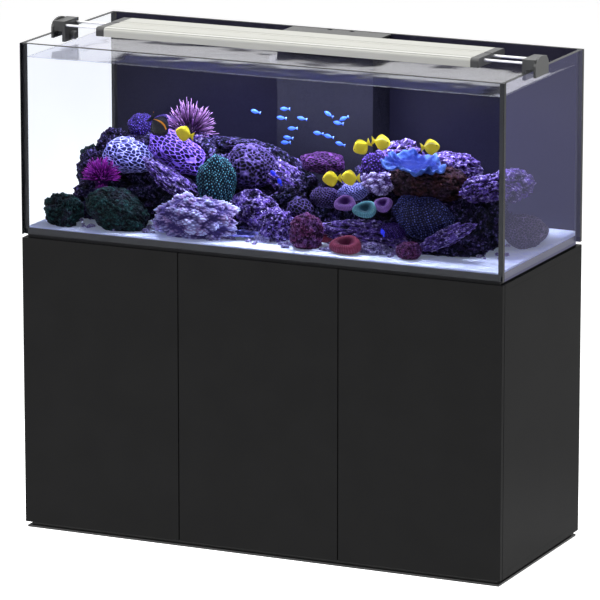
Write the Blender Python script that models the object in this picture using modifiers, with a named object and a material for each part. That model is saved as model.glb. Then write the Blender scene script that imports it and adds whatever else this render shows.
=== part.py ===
"""Aquarium on a three-door cabinet, built as separate solids.

Metres, +Z up. The origin is on the floor at the centre of the footprint, +X runs
to the right seen from the front and +Y runs to the back.
"""

import math

import bmesh
import bpy
from mathutils import Matrix, Vector, noise

# Overall sizes
WIDTH = 1.500
DEPTH = 0.590
CABINET_HEIGHT = 0.850
TANK_HEIGHT = 0.560
CLEARANCE = 0.0003

# Base
FLOOR_PLATE = 0.006
FLOOR_PLATE_INSET = 0.005
PLINTH_HEIGHT = 0.010
PLINTH_INSET = 0.016
PLINTH_WALL = 0.040

# Cabinet
BOARD = 0.018
BACK_BOARD = 0.008
DOOR_COUNT = 3
DOOR_THICKNESS = 0.018
DOOR_STAND_OFF = 0.002
DOOR_GAP = 0.003
DOOR_EDGE_ROUND = 0.0012
POST_DEPTH = 0.090
CABLE_GAP = 0.050
BACK_OPENING = 0.150
MAT_THICKNESS = 0.009
MAT_INSET = 0.013

# Door hinges and push latches
HINGE_INSET = 0.006
CUP_FROM_EDGE = 0.0215
CUP_RADIUS = 0.0175
CUP_DEPTH = 0.011
CUP_WALL = 0.0015
CUP_FLANGE_RADIUS = 0.019
CUP_FLANGE = 0.0008
HINGE_FROM_END = 0.100
ARM_LENGTH = 0.070
ARM_REACH = 0.014
ARM_HEIGHT = 0.018
LATCH_FROM_EDGE = 0.060
LATCH_RADIUS = 0.005
LATCH_LENGTH = 0.050
LATCH_GAP = 0.0005
LATCH_TRAVEL = 0.003

# Glass tank
GLASS = 0.012
BOTTOM_GLASS = 0.015
SEAM_LAYER = 0.001
SEAM_BEAD = 0.006
SEAM_RISE = 0.004

# Overflow column and plumbing
COLUMN_WIDTH = 0.304
COLUMN_DEPTH = 0.120
ACRYLIC = 0.006
COLUMN_LID = 0.0045
LID_OVERHANG = 0.004
LID_GRIP = 0.014
LID_GRIP_X = 0.035
COMB_SLOT = 0.003
COMB_PITCH = 0.0085
COMB_COUNT = 24
COMB_TOP = 0.016
COMB_HEIGHT = 0.043
DRAIN_X = 0.075
DRAIN_RADIUS = 0.020
DRAIN_WALL = 0.0024
DRAIN_TOP_BELOW_RIM = 0.075
RETURN_X = -0.085
RETURN_RADIUS = 0.0125
RETURN_TOP_BELOW_RIM = 0.090
RETURN_REACH = 0.050
FLANGE_RADIUS = 0.034
FLANGE = 0.008
NUT_RADIUS = 0.030
NUT_ROOM = 0.006
VALVE_HEIGHT = 0.200
VALVE_RADIUS = 0.030
LEVER_LENGTH = 0.070
LEVER_WIDTH = 0.014
LEVER_THICKNESS = 0.006

# Sump in the cabinet
SUMP_END_GAP = 0.072
SUMP_DEPTH = 0.370
SUMP_HEIGHT = 0.400
SUMP_WALL = 0.006
SUMP_SIDE_GAP = 0.020
SUMP_BACK_GAP = 0.008
BAFFLE_LOW = 0.120
PUMP_RADIUS = 0.040
PUMP_HEIGHT = 0.100
PUMP_SPOUT = 0.040
SKIMMER_X = 0.330
SKIMMER_Y = 0.090
SKIMMER_RADIUS = 0.065
SKIMMER_HEIGHT = 0.480

# Lamp bar over the tank
LAMP_LENGTH = 1.194
LAMP_DEPTH = 0.190
LAMP_THICKNESS = 0.026
LAMP_Y = -0.020
LAMP_ABOVE_RIM = 0.002
LAMP_CAP = 0.025
LAMP_GROOVE = 0.005
LED_WIDTH = 0.110
LED_THICKNESS = 0.004
ROD_RADIUS = 0.0035
ROD_Y = (-0.073, -0.003)
ROD_ABOVE_RIM = 0.018
ROD_IN_LAMP = 0.100
CLAMP_FRONT = -0.086
CLAMP_LENGTH = 0.095
CLAMP_PLATE = 0.007
CLAMP_DOWN = 0.020
CLAMP_UP = 0.036
CLAMP_BLOCK = 0.030
CLAMP_REACH = 0.023
CLAMP_JAW = 0.010
CLAMP_JAW_DOWN = 0.030
SCREW_DOWN = 0.015
SCREW_RADIUS = 0.004
KNOB_RADIUS = 0.0125
KNOB_LENGTH = 0.014

# Sand and rock
SAND_DEPTH = 0.012
SAND_INSET = 0.009
ROCKS = {
    "reef_rock_left": ((-0.37, -0.04), (0.32, 0.14, 0.130), 3.0),
    "reef_rock_right": ((0.38, -0.04), (0.26, 0.14, 0.120), 7.0),
}

# Levels and planes worked out from the sizes
CABINET_BOTTOM = FLOOR_PLATE + PLINTH_HEIGHT
CABINET_TOP = CABINET_BOTTOM + CABINET_HEIGHT
TANK_BOTTOM = CABINET_TOP + MAT_THICKNESS
RIM = TANK_BOTTOM + TANK_HEIGHT
TANK_FLOOR = TANK_BOTTOM + CLEARANCE + BOTTOM_GLASS
FRONT = -DEPTH / 2
BACK = DEPTH / 2
CARCASS_FRONT = FRONT + DOOR_THICKNESS + DOOR_STAND_OFF
DOOR_WIDTH = (WIDTH - (DOOR_COUNT - 1) * DOOR_GAP) / DOOR_COUNT
DOOR_BACK = FRONT + DOOR_THICKNESS
DIVIDER_X = -DOOR_WIDTH / 2 - DOOR_GAP / 2
INNER_X = WIDTH / 2 - BOARD
PANEL_LOW = CABINET_BOTTOM + BOARD + 2 * CLEARANCE
PANEL_HIGH = CABINET_TOP - BOARD - CLEARANCE
BACK_PANEL_Y = BACK - BACK_BOARD
GLASS_X = WIDTH / 2 - GLASS
GLASS_Y = DEPTH / 2 - GLASS
COLUMN_FRONT = GLASS_Y - COLUMN_DEPTH
COLUMN_BACK = GLASS_Y - SEAM_LAYER - 2 * CLEARANCE
PIPE_Y = COLUMN_FRONT + ACRYLIC + (COLUMN_DEPTH - ACRYLIC) / 2
COLUMN_TOP = RIM - COLUMN_LID - CLEARANCE
PIPE_HOLE = 0.0006
NUT_TOP = TANK_BOTTOM
NUT_BOTTOM = CABINET_TOP - 0.004
SUMP_X = DIVIDER_X + BOARD / 2 + SUMP_SIDE_GAP
SUMP_LENGTH = WIDTH / 2 - BOARD - SUMP_END_GAP - SUMP_X
SUMP_Y = BACK_PANEL_Y - SUMP_BACK_GAP - SUMP_DEPTH
SUMP_Z = CABINET_BOTTOM + BOARD + 2 * CLEARANCE
SUMP_FLOOR = SUMP_Z + SUMP_WALL
LAMP_BOTTOM = RIM + LAMP_ABOVE_RIM
ROD_Z = RIM + ROD_ABOVE_RIM
CLAMP_INNER = GLASS_X - CLAMP_REACH
SEGMENTS = 32


def start_scene():
    """Empty the scene and make the collections."""
    for item in list(bpy.data.objects):
        bpy.data.objects.remove(item, do_unlink=True)
    made = []
    for name in ("aquarium_on_stand", "cutters"):
        collection = bpy.data.collections.new(name)
        bpy.context.scene.collection.children.link(collection)
        made.append(collection)
    return made


PARTS, CUTTERS = start_scene()


def make_material(name, colour, roughness, metallic=0.0, alpha=1.0):
    """A plain Principled material."""
    material = bpy.data.materials.new(name)
    material.use_nodes = True
    shader = material.node_tree.nodes["Principled BSDF"]
    shader.inputs["Base Color"].default_value = (*colour, 1.0)
    shader.inputs["Roughness"].default_value = roughness
    shader.inputs["Metallic"].default_value = metallic
    shader.inputs["Alpha"].default_value = alpha
    return material


BLACK_BOARD = make_material("black_board", (0.030, 0.030, 0.031), 0.45)
BLACK_PLASTIC = make_material("black_plastic", (0.020, 0.020, 0.021), 0.40)
RUBBER_FOAM = make_material("rubber_foam", (0.012, 0.012, 0.012), 0.90)
STEEL = make_material("hinge_steel", (0.62, 0.62, 0.62), 0.30, 1.0)
CLEAR_GLASS = make_material("clear_glass", (0.85, 0.93, 0.93), 0.02, 0.0, 0.25)
DARK_GLASS = make_material("dark_glass", (0.015, 0.015, 0.025), 0.05)
SILICONE = make_material("silicone", (0.010, 0.010, 0.011), 0.50)
ACRYLIC_BLACK = make_material("black_acrylic", (0.035, 0.035, 0.050), 0.20)
PIPE_GREY = make_material("grey_pipe", (0.20, 0.21, 0.22), 0.40)
SUMP_ACRYLIC = make_material("sump_acrylic", (0.70, 0.80, 0.82), 0.10, 0.0, 0.4)
ALUMINIUM = make_material("white_aluminium", (0.80, 0.80, 0.76), 0.30, 0.2)
LED_LENS = make_material("led_lens", (0.75, 0.85, 1.0), 0.20)
SAND = make_material("coral_sand", (0.60, 0.60, 0.68), 0.90)
ROCK = make_material("live_rock", (0.28, 0.22, 0.30), 0.85)


def empty_at(name, place):
    """An empty on a joint's axis, which carries a moving group."""
    pivot = bpy.data.objects.new(name, None)
    pivot.location = place
    pivot.empty_display_size = 0.05
    PARTS.objects.link(pivot)
    return pivot


def add_object(name, data, material, parent=None, collection=PARTS):
    """Link an object, give it its material and hang it on its parent."""
    made = bpy.data.objects.new(name, data)
    collection.objects.link(made)
    if material is not None:
        data.materials.append(material)
    if parent is not None:
        made.parent = parent
        made.matrix_parent_inverse = Matrix.Translation(-parent.location)
    return made


def box(name, low, high, material, parent=None, edge=0.0, collection=PARTS):
    """A block between two corners, with rounded edges when edge is given."""
    low, high = Vector(low), Vector(high)
    mesh = bpy.data.meshes.new(name)
    shape = bmesh.new()
    bmesh.ops.create_cube(shape, size=1.0, matrix=Matrix.Diagonal((*(high - low), 1.0)))
    shape.to_mesh(mesh)
    shape.free()
    made = add_object(name, mesh, material, parent, collection)
    made.location = (low + high) / 2
    if edge:
        bevel = made.modifiers.new("edge", "BEVEL")
        bevel.width = edge
        bevel.segments = 2
    return made


def flat_outline(name, outlines, thickness, place, turn, material, parent=None, collection=PARTS):
    """A sheet with the given outline and holes, drawn in its own X and Y, thickness on Z."""
    curve = bpy.data.curves.new(name, "CURVE")
    curve.dimensions = "2D"
    curve.fill_mode = "BOTH"
    curve.extrude = thickness / 2
    for outline in outlines:
        spline = curve.splines.new("POLY")
        spline.points.add(len(outline) - 1)
        for point, (across, up) in zip(spline.points, outline):
            point.co = (across, up, 0.0, 1.0)
        spline.use_cyclic_u = True
    made = add_object(name, curve, material, parent, collection)
    made.location = place
    made.rotation_euler = turn
    return made


def turned(name, profile, place, material, parent=None, turn=(0, 0, 0), closed=False, collection=PARTS):
    """A profile of (radius, height) pairs, top to bottom, swept round the own Z axis."""
    mesh = bpy.data.meshes.new(name)
    points = [(radius, 0.0, height) for radius, height in profile]
    edges = [(i, i + 1) for i in range(len(points) - 1)]
    if closed:
        edges.append((len(points) - 1, 0))
    mesh.from_pydata(points, edges, [])
    made = add_object(name, mesh, material, parent, collection)
    made.location = place
    made.rotation_euler = turn
    screw = made.modifiers.new("turn", "SCREW")
    screw.steps = SEGMENTS
    screw.render_steps = SEGMENTS
    screw.use_merge_vertices = True
    screw.merge_threshold = 0.00005
    screw.use_smooth_shade = True
    return made


def rod(name, radius, low, high, material, place, parent=None, turn=(0, 0, 0), collection=PARTS):
    """A plain round bar from low to high along its own Z axis."""
    profile = [(0.0, high), (radius, high), (radius, low), (0.0, low)]
    return turned(name, profile, place, material, parent, turn, collection=collection)


def cut(target, cutter, operation="DIFFERENCE"):
    """Take the cutter away from the target, or join it on."""
    cutter.hide_render = True
    cutter.display_type = "WIRE"
    step = target.modifiers.new(operation.lower(), "BOOLEAN")
    step.operation = operation
    step.solver = "EXACT"
    step.object = cutter


def as_mesh(item):
    """Turn a curve object into a welded mesh object of the same name and place."""
    name = item.name
    bpy.context.view_layer.update()
    seen = item.evaluated_get(bpy.context.evaluated_depsgraph_get())
    mesh = bpy.data.meshes.new_from_object(seen)
    shape = bmesh.new()
    shape.from_mesh(mesh)
    bmesh.ops.remove_doubles(shape, verts=shape.verts, dist=0.00001)
    shape.to_mesh(mesh)
    shape.free()
    matrix = item.matrix_world.copy()
    collection = item.users_collection[0]
    bpy.data.objects.remove(item, do_unlink=True)
    made = bpy.data.objects.new(name, mesh)
    made.matrix_world = matrix
    collection.objects.link(made)
    return made


def rectangle(half_x, half_y, centre=(0.0, 0.0)):
    """The four corners of a rectangle."""
    signs = ((-1, -1), (1, -1), (1, 1), (-1, 1))
    return [(centre[0] + a * half_x, centre[1] + b * half_y) for a, b in signs]


UPRIGHT = (math.pi / 2, 0, 0)            # own X, Y to world X, Z
SIDEWAYS = (math.pi / 2, 0, math.pi / 2)  # own X, Y to world Y, Z


def make_base():
    """The floor plate and the set-back plinth frame."""
    half_x, half_y = WIDTH / 2 - FLOOR_PLATE_INSET, DEPTH / 2 - FLOOR_PLATE_INSET
    box("floor_plate", (-half_x, -half_y, 0), (half_x, half_y, FLOOR_PLATE), BLACK_PLASTIC)
    half_x, half_y = WIDTH / 2 - PLINTH_INSET, DEPTH / 2 - PLINTH_INSET
    outlines = [rectangle(half_x, half_y), rectangle(half_x - PLINTH_WALL, half_y - PLINTH_WALL)]
    thickness = PLINTH_HEIGHT - CLEARANCE
    middle = FLOOR_PLATE + CLEARANCE + thickness / 2
    flat_outline("plinth_frame", outlines, thickness, (0, 0, middle), (0, 0, 0), BLACK_PLASTIC)


def make_carcass():
    """The boards of the cabinet and the mat on top of it."""
    half = WIDTH / 2
    front, back = CARCASS_FRONT, BACK
    bottom = CABINET_BOTTOM + CLEARANCE
    box("bottom_panel", (-half, front, bottom), (half, back, bottom + BOARD), BLACK_BOARD)
    top = box("top_panel", (-half, front, CABINET_TOP - BOARD), (half, back, CABINET_TOP), BLACK_BOARD)
    inner_back = BACK_PANEL_Y - CLEARANCE
    box("side_panel_left", (-half, front, PANEL_LOW), (-INNER_X, back, PANEL_HIGH), BLACK_BOARD)
    box("side_panel_right", (INNER_X, front, PANEL_LOW), (half, back, PANEL_HIGH), BLACK_BOARD)
    box("divider_panel", (DIVIDER_X - BOARD / 2, front, PANEL_LOW),
        (DIVIDER_X + BOARD / 2, inner_back - CABLE_GAP, PANEL_HIGH), BLACK_BOARD)
    box("front_post", (-DIVIDER_X - BOARD / 2, front, PANEL_LOW),
        (-DIVIDER_X + BOARD / 2, front + POST_DEPTH, PANEL_HIGH), BLACK_BOARD)
    reach = INNER_X - CLEARANCE
    box("back_panel", (-reach, BACK_PANEL_Y, PANEL_LOW), (reach, back, PANEL_HIGH - BACK_OPENING), BLACK_BOARD)
    mat = box("support_mat", (-half + MAT_INSET, FRONT + MAT_INSET, CABINET_TOP + CLEARANCE),
              (half - MAT_INSET, BACK - MAT_INSET, TANK_BOTTOM), RUBBER_FOAM)
    for name, x in (("drain", DRAIN_X), ("return", RETURN_X)):
        hole = rod(name + "_nut_room", NUT_RADIUS + NUT_ROOM, CABINET_TOP - 2 * BOARD, TANK_BOTTOM + BOARD,
                   None, (x, PIPE_Y, 0), collection=CUTTERS)
        cut(top, hole)
        cut(mat, hole)
    return top


def door_left_edge(index):
    """The X of a door's left edge."""
    return -WIDTH / 2 + index * (DOOR_WIDTH + DOOR_GAP)


def make_door(name, index, hinge_side, top_panel):
    """One door with its two cup hinges and its push latch.

    hinge_side is -1 for a door hinged on its left edge and +1 on its right edge.
    """
    left = door_left_edge(index)
    edge_x = left if hinge_side < 0 else left + DOOR_WIDTH
    into = -hinge_side
    axis_x = edge_x + into * HINGE_INSET
    pivot = empty_at("pivot_" + name, (axis_x, FRONT + HINGE_INSET, CABINET_BOTTOM))
    door = box("door_" + name, (left, FRONT, CABINET_BOTTOM + 2 * CLEARANCE),
               (left + DOOR_WIDTH, DOOR_BACK, CABINET_TOP), BLACK_BOARD, pivot, edge=DOOR_EDGE_ROUND)
    cup_x = edge_x + into * CUP_FROM_EDGE
    board_x = {0: -INNER_X, 1: DIVIDER_X + BOARD / 2, 2: INNER_X}[index]
    levels = {"lower": CABINET_BOTTOM + HINGE_FROM_END, "upper": CABINET_TOP - HINGE_FROM_END}
    for level, z in levels.items():
        bore = rod("cup_bore_" + name + level, CUP_RADIUS + CLEARANCE, -CUP_DEPTH - CLEARANCE, DOOR_THICKNESS,
                   None, (cup_x, DOOR_BACK, z), pivot, (-math.pi / 2, 0, 0), CUTTERS)
        cut(door, bore)
        rim_low = CLEARANCE
        profile = [(CUP_RADIUS - CUP_WALL, rim_low + CUP_FLANGE), (CUP_FLANGE_RADIUS, rim_low + CUP_FLANGE),
                   (CUP_FLANGE_RADIUS, rim_low), (CUP_RADIUS, rim_low), (CUP_RADIUS, -CUP_DEPTH),
                   (0.0, -CUP_DEPTH)]
        inside = [(0.0, CUP_WALL - CUP_DEPTH), (CUP_RADIUS - CUP_WALL, CUP_WALL - CUP_DEPTH)]
        turned("hinge_cup_" + name + "_" + level, inside + profile, (cup_x, DOOR_BACK, z), STEEL, pivot,
               (-math.pi / 2, 0, 0))
        start = CARCASS_FRONT + 0.004
        step = 0.004
        arm = [(0, 0), (0, ARM_LENGTH), (step, ARM_LENGTH), (step, ARM_LENGTH * 0.75),
               (ARM_REACH, ARM_LENGTH * 0.65), (ARM_REACH, step), (ARM_REACH - step, 0)]
        arm = [(into * across, along) for across, along in arm]
        place = (board_x + into * CLEARANCE, start, z)
        flat_outline("hinge_arm_" + name + "_" + level, [arm], ARM_HEIGHT, place, (0, 0, 0), STEEL)
    latch_x = edge_x + into * (DOOR_WIDTH - LATCH_FROM_EDGE)
    latch_z = CABINET_TOP - BOARD / 2
    tip = DOOR_BACK + LATCH_GAP
    slide = empty_at("latch_slide_" + name, (latch_x, tip, latch_z))
    nose = LATCH_RADIUS * 0.3
    profile = [(0.0, 0.0), (LATCH_RADIUS - nose, 0.0), (LATCH_RADIUS, -nose), (LATCH_RADIUS, -LATCH_LENGTH),
               (0.0, -LATCH_LENGTH)]
    turned("latch_plunger_" + name, profile, (latch_x, tip, latch_z), BLACK_PLASTIC, slide, (math.pi / 2, 0, 0))
    depth = LATCH_LENGTH + LATCH_TRAVEL + 2 * CLEARANCE
    bore = rod("latch_bore_" + name, LATCH_RADIUS + CLEARANCE, -depth, DOOR_THICKNESS, None,
               (latch_x, tip, latch_z), None, (math.pi / 2, 0, 0), CUTTERS)
    cut(top_panel, bore)


def make_tank():
    """The five panes and the black silicone that joins them."""
    half, low = WIDTH / 2, TANK_BOTTOM + CLEARANCE
    box("tank_front_glass", (-half, FRONT, low), (half, FRONT + GLASS, RIM), CLEAR_GLASS)
    box("tank_back_glass", (-half, BACK - GLASS, low), (half, BACK, RIM), DARK_GLASS)
    joint = SEAM_LAYER + 2 * CLEARANCE
    side_y = GLASS_Y - joint
    box("tank_left_glass", (-half, -side_y, low), (-GLASS_X, side_y, RIM), CLEAR_GLASS)
    box("tank_right_glass", (GLASS_X, -side_y, low), (half, side_y, RIM), CLEAR_GLASS)
    floor = box("tank_bottom_glass", (-GLASS_X + joint, -side_y, low), (GLASS_X - joint, side_y, TANK_FLOOR),
                DARK_GLASS)
    for name, x, radius in (("drain", DRAIN_X, DRAIN_RADIUS), ("return", RETURN_X, RETURN_RADIUS + ACRYLIC)):
        hole = rod(name + "_glass_hole", radius + PIPE_HOLE, CABINET_TOP, TANK_FLOOR + BOARD, None,
                   (x, PIPE_Y, 0), collection=CUTTERS)
        cut(floor, hole)

    outer_x, outer_y = GLASS_X - CLEARANCE, GLASS_Y - CLEARANCE
    ring = [rectangle(outer_x, outer_y), rectangle(outer_x - SEAM_LAYER, outer_y - SEAM_LAYER)]
    rise = BOTTOM_GLASS + SEAM_RISE
    seams = as_mesh(flat_outline("tank_seams", ring, rise, (0, 0, low + rise / 2), (0, 0, 0), None))
    seams.data.materials.append(SILICONE)
    post_low, post_high = TANK_FLOOR + CLEARANCE, RIM - 2 * CLEARANCE
    for across in (-1, 1):
        for along in (-1, 1):
            corner = [(half, outer_y), (outer_x - SEAM_BEAD, outer_y), (outer_x, outer_y - SEAM_BEAD),
                      (outer_x, outer_y - SEAM_LAYER), (half, outer_y - SEAM_LAYER)]
            corner = [(across * x, along * y) for x, y in corner]
            name = "seam_post_" + ("left" if across < 0 else "right") + ("_front" if along < 0 else "_back")
            post = as_mesh(flat_outline(name, [corner], post_high - post_low, (0, 0, (post_low + post_high) / 2),
                                        (0, 0, 0), None, collection=CUTTERS))
            cut(seams, post, "UNION")


def make_column():
    """The overflow column in the back of the tank, with its comb and its lid."""
    half = COLUMN_WIDTH / 2
    low, high = TANK_FLOOR + CLEARANCE, COLUMN_TOP
    height = high - low
    outlines = [rectangle(half, height / 2)]
    slot_middle = RIM - COMB_TOP - COMB_HEIGHT / 2 - (low + high) / 2
    for index in range(COMB_COUNT):
        x = (index - (COMB_COUNT - 1) / 2) * COMB_PITCH
        outlines.append(rectangle(COMB_SLOT / 2, COMB_HEIGHT / 2, (x, slot_middle)))
    flat_outline("overflow_front_panel", outlines, ACRYLIC, (0, COLUMN_FRONT + ACRYLIC / 2, (low + high) / 2),
                 UPRIGHT, ACRYLIC_BLACK)
    start = COLUMN_FRONT + ACRYLIC + CLEARANCE
    left = box("overflow_left_panel", (-half, start, low), (-half + ACRYLIC, COLUMN_BACK, high), ACRYLIC_BLACK)
    box("overflow_right_panel", (half - ACRYLIC, start, low), (half, COLUMN_BACK, high), ACRYLIC_BLACK)
    outlet = rod("outlet_hole", RETURN_RADIUS + PIPE_HOLE, -COLUMN_WIDTH, COLUMN_WIDTH / 4, None,
                 (-half, PIPE_Y, RIM - RETURN_TOP_BELOW_RIM), None, (0, math.pi / 2, 0), CUTTERS)
    cut(left, outlet)

    lid_half = half + LID_OVERHANG
    front, back = COLUMN_FRONT - LID_OVERHANG, GLASS_Y - CLEARANCE
    outline = [(-lid_half, front), (lid_half, front), (lid_half, back)]
    for x in (LID_GRIP_X, -LID_GRIP_X):
        outline += [(x + LID_GRIP / 2, back), (x + LID_GRIP / 2, back - LID_GRIP), (x - LID_GRIP / 2, back - LID_GRIP),
                    (x - LID_GRIP / 2, back)]
    outline += [(-lid_half, back)]
    lift = empty_at("lift_overflow_lid", (0, (front + back) / 2, RIM))
    flat_outline("overflow_lid", [outline], COLUMN_LID, (0, 0, RIM - COLUMN_LID / 2), (0, 0, 0), ACRYLIC_BLACK,
                 lift)


def make_plumbing():
    """The drain with its valve, the return pipe with its bulkhead, the pump and the skimmer."""
    top = RIM - DRAIN_TOP_BELOW_RIM
    end = SUMP_FLOOR + SUMP_HEIGHT * 0.6
    valve = CABINET_TOP - VALVE_HEIGHT
    radius, inside = DRAIN_RADIUS, DRAIN_RADIUS - DRAIN_WALL
    flange_low = TANK_FLOOR + CLEARANCE
    nut_high = NUT_TOP
    profile = [(inside, top), (radius, top), (radius, flange_low + FLANGE), (FLANGE_RADIUS, flange_low + FLANGE),
               (FLANGE_RADIUS, flange_low), (radius, flange_low), (radius, nut_high), (NUT_RADIUS, nut_high),
               (NUT_RADIUS, NUT_BOTTOM), (radius, NUT_BOTTOM), (radius, valve + VALVE_RADIUS),
               (VALVE_RADIUS, valve + VALVE_RADIUS * 0.7), (VALVE_RADIUS, valve - VALVE_RADIUS * 0.7),
               (radius, valve - VALVE_RADIUS), (radius, end), (inside, end)]
    turned("drain_pipe", profile, (DRAIN_X, PIPE_Y, 0), PIPE_GREY, closed=True)
    face = PIPE_Y - VALVE_RADIUS - 2 * CLEARANCE
    pivot = empty_at("pivot_valve", (DRAIN_X, face, valve))
    lever = [(-LEVER_WIDTH / 2, -LEVER_WIDTH / 2), (LEVER_WIDTH / 2, -LEVER_WIDTH / 2),
             (LEVER_WIDTH / 2, LEVER_LENGTH * 0.9), (0, LEVER_LENGTH), (-LEVER_WIDTH / 2, LEVER_LENGTH * 0.9)]
    flat_outline("drain_valve_lever", [lever], LEVER_THICKNESS, (DRAIN_X, face - LEVER_THICKNESS / 2, valve),
                 UPRIGHT, BLACK_PLASTIC, pivot)

    pump_top = SUMP_FLOOR + 2 * CLEARANCE + PUMP_HEIGHT + PUMP_SPOUT
    level = RIM - RETURN_TOP_BELOW_RIM
    bend = 0.025
    curve = bpy.data.curves.new("return_pipe", "CURVE")
    curve.dimensions = "3D"
    curve.bevel_depth = RETURN_RADIUS
    curve.bevel_resolution = 4
    curve.use_fill_caps = True
    points = [(RETURN_X, PIPE_Y, pump_top + CLEARANCE), (RETURN_X, PIPE_Y, level - bend)]
    for index in range(1, 9):
        angle = index / 8 * math.pi / 2
        points.append((RETURN_X - bend * (1 - math.cos(angle)), PIPE_Y, level - bend + bend * math.sin(angle)))
    points.append((-COLUMN_WIDTH / 2 - RETURN_REACH, PIPE_Y, level))
    spline = curve.splines.new("POLY")
    spline.points.add(len(points) - 1)
    for point, place in zip(spline.points, points):
        point.co = (*place, 1.0)
    add_object("return_pipe", curve, PIPE_GREY)
    sleeve_in = RETURN_RADIUS + CLEARANCE
    sleeve_out = RETURN_RADIUS + ACRYLIC
    profile = [(sleeve_in, flange_low + FLANGE), (FLANGE_RADIUS * 0.8, flange_low + FLANGE),
               (FLANGE_RADIUS * 0.8, flange_low), (sleeve_out, flange_low), (sleeve_out, nut_high),
               (NUT_RADIUS, nut_high), (NUT_RADIUS, NUT_BOTTOM), (sleeve_in, NUT_BOTTOM)]
    turned("return_bulkhead", profile, (RETURN_X, PIPE_Y, 0), PIPE_GREY, closed=True)

    spout = RETURN_RADIUS * 1.3
    foot = SUMP_FLOOR + CLEARANCE
    profile = [(0, pump_top), (spout, pump_top), (spout, foot + PUMP_HEIGHT), (PUMP_RADIUS * 0.8, foot + PUMP_HEIGHT),
               (PUMP_RADIUS, foot + PUMP_HEIGHT * 0.85), (PUMP_RADIUS, foot), (0, foot)]
    turned("return_pump", profile, (RETURN_X, PIPE_Y, 0), BLACK_PLASTIC)
    radius, height = SKIMMER_RADIUS, SKIMMER_HEIGHT
    profile = [(0, height), (radius * 0.3, height), (radius * 0.85, height * 0.98), (radius * 0.85, height * 0.74),
               (radius * 0.5, height * 0.70), (radius * 0.5, height * 0.62), (radius, height * 0.50),
               (radius, 0.012), (radius * 1.15, 0.010), (radius * 1.15, 0), (0, 0)]
    turned("protein_skimmer", profile, (SKIMMER_X, SKIMMER_Y, foot), BLACK_PLASTIC)


def make_sump():
    """The filter tank in the cabinet: one box with three chambers open at the top."""
    low = Vector((SUMP_X, SUMP_Y, SUMP_Z))
    size = Vector((SUMP_LENGTH, SUMP_DEPTH, SUMP_HEIGHT))
    sump = box("sump_tank", low, low + size, SUMP_ACRYLIC)
    first = RETURN_X + PUMP_RADIUS + 0.010 - SUMP_X
    second = first + 0.030
    walls = [(SUMP_WALL, first), (first + SUMP_WALL, second), (second + SUMP_WALL, SUMP_LENGTH - SUMP_WALL)]
    for index, (start, end) in enumerate(walls):
        chamber_low = low + Vector((start, SUMP_WALL, SUMP_WALL))
        chamber_high = low + Vector((end, SUMP_DEPTH - SUMP_WALL, SUMP_HEIGHT + BOARD))
        room = box("sump_room_" + str(index), chamber_low, chamber_high, None, collection=CUTTERS)
        cut(sump, room)
    notch_low = low + Vector((first - SUMP_WALL / 2, SUMP_DEPTH * 0.2, SUMP_HEIGHT - BAFFLE_LOW))
    notch_high = low + Vector((second + SUMP_WALL * 1.5, SUMP_DEPTH * 0.8, SUMP_HEIGHT + BOARD))
    cut(sump, box("sump_baffle_notch", notch_low, notch_high, None, collection=CUTTERS))


def lamp_outline(with_strip):
    """The lamp's section in Y and Z: two lobes on top with a groove between them."""
    half = LAMP_DEPTH / 2
    corner = LAMP_THICKNESS * 0.35
    outline = [(-half, 0.0)]
    if with_strip:
        slot = LED_WIDTH / 2 + CLEARANCE
        deep = LED_THICKNESS + 2 * CLEARANCE
        outline += [(-slot, 0.0), (-slot, deep), (slot, deep), (slot, 0.0)]
    outline += [(half, 0.0)]
    top = LAMP_THICKNESS
    steps = 4
    for index in range(steps + 1):
        angle = index / steps * math.pi / 2
        outline.append((half - corner * (1 - math.cos(angle)), top - corner * (1 - math.sin(angle))))
    outline += [(LAMP_GROOVE, top), (0.0, top - LAMP_GROOVE), (-LAMP_GROOVE, top)]
    for index in range(steps + 1):
        angle = index / steps * math.pi / 2
        outline.append((-half + corner * (1 - math.sin(angle)), top - corner * (1 - math.cos(angle))))
    return outline


def circle(radius, centre, count=16):
    """Points round a circle."""
    angles = [index / count * 2 * math.pi for index in range(count)]
    return [(centre[0] + radius * math.cos(a), centre[1] + radius * math.sin(a)) for a in angles]


def make_lamp(carrier):
    """The lamp body with its end caps and strip, which slides along the rods."""
    slide = empty_at("slide_lamp", (0, LAMP_Y, LAMP_BOTTOM))
    slide.parent = carrier
    slide.matrix_parent_inverse = Matrix.Translation(-carrier.location)
    channels = [circle(ROD_RADIUS + CLEARANCE, (y - LAMP_Y, ROD_Z - LAMP_BOTTOM)) for y in ROD_Y]
    body_half = LAMP_LENGTH / 2 - LAMP_CAP
    bpy.context.view_layer.update()
    place = (0, LAMP_Y, LAMP_BOTTOM)
    flat_outline("lamp_housing", [lamp_outline(True)] + channels, 2 * (body_half - CLEARANCE), place, SIDEWAYS,
                 ALUMINIUM, slide)
    for name, side in (("left", -1), ("right", 1)):
        place = (side * (body_half + LAMP_CAP / 2), LAMP_Y, LAMP_BOTTOM)
        flat_outline("lamp_end_cap_" + name, [lamp_outline(False)] + channels, LAMP_CAP, place, SIDEWAYS,
                     BLACK_PLASTIC, slide)
    reach = body_half - 2 * CLEARANCE
    box("lamp_led_strip", (-reach, LAMP_Y - LED_WIDTH / 2, LAMP_BOTTOM + CLEARANCE),
        (reach, LAMP_Y + LED_WIDTH / 2, LAMP_BOTTOM + LED_THICKNESS), LED_LENS, slide)


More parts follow.
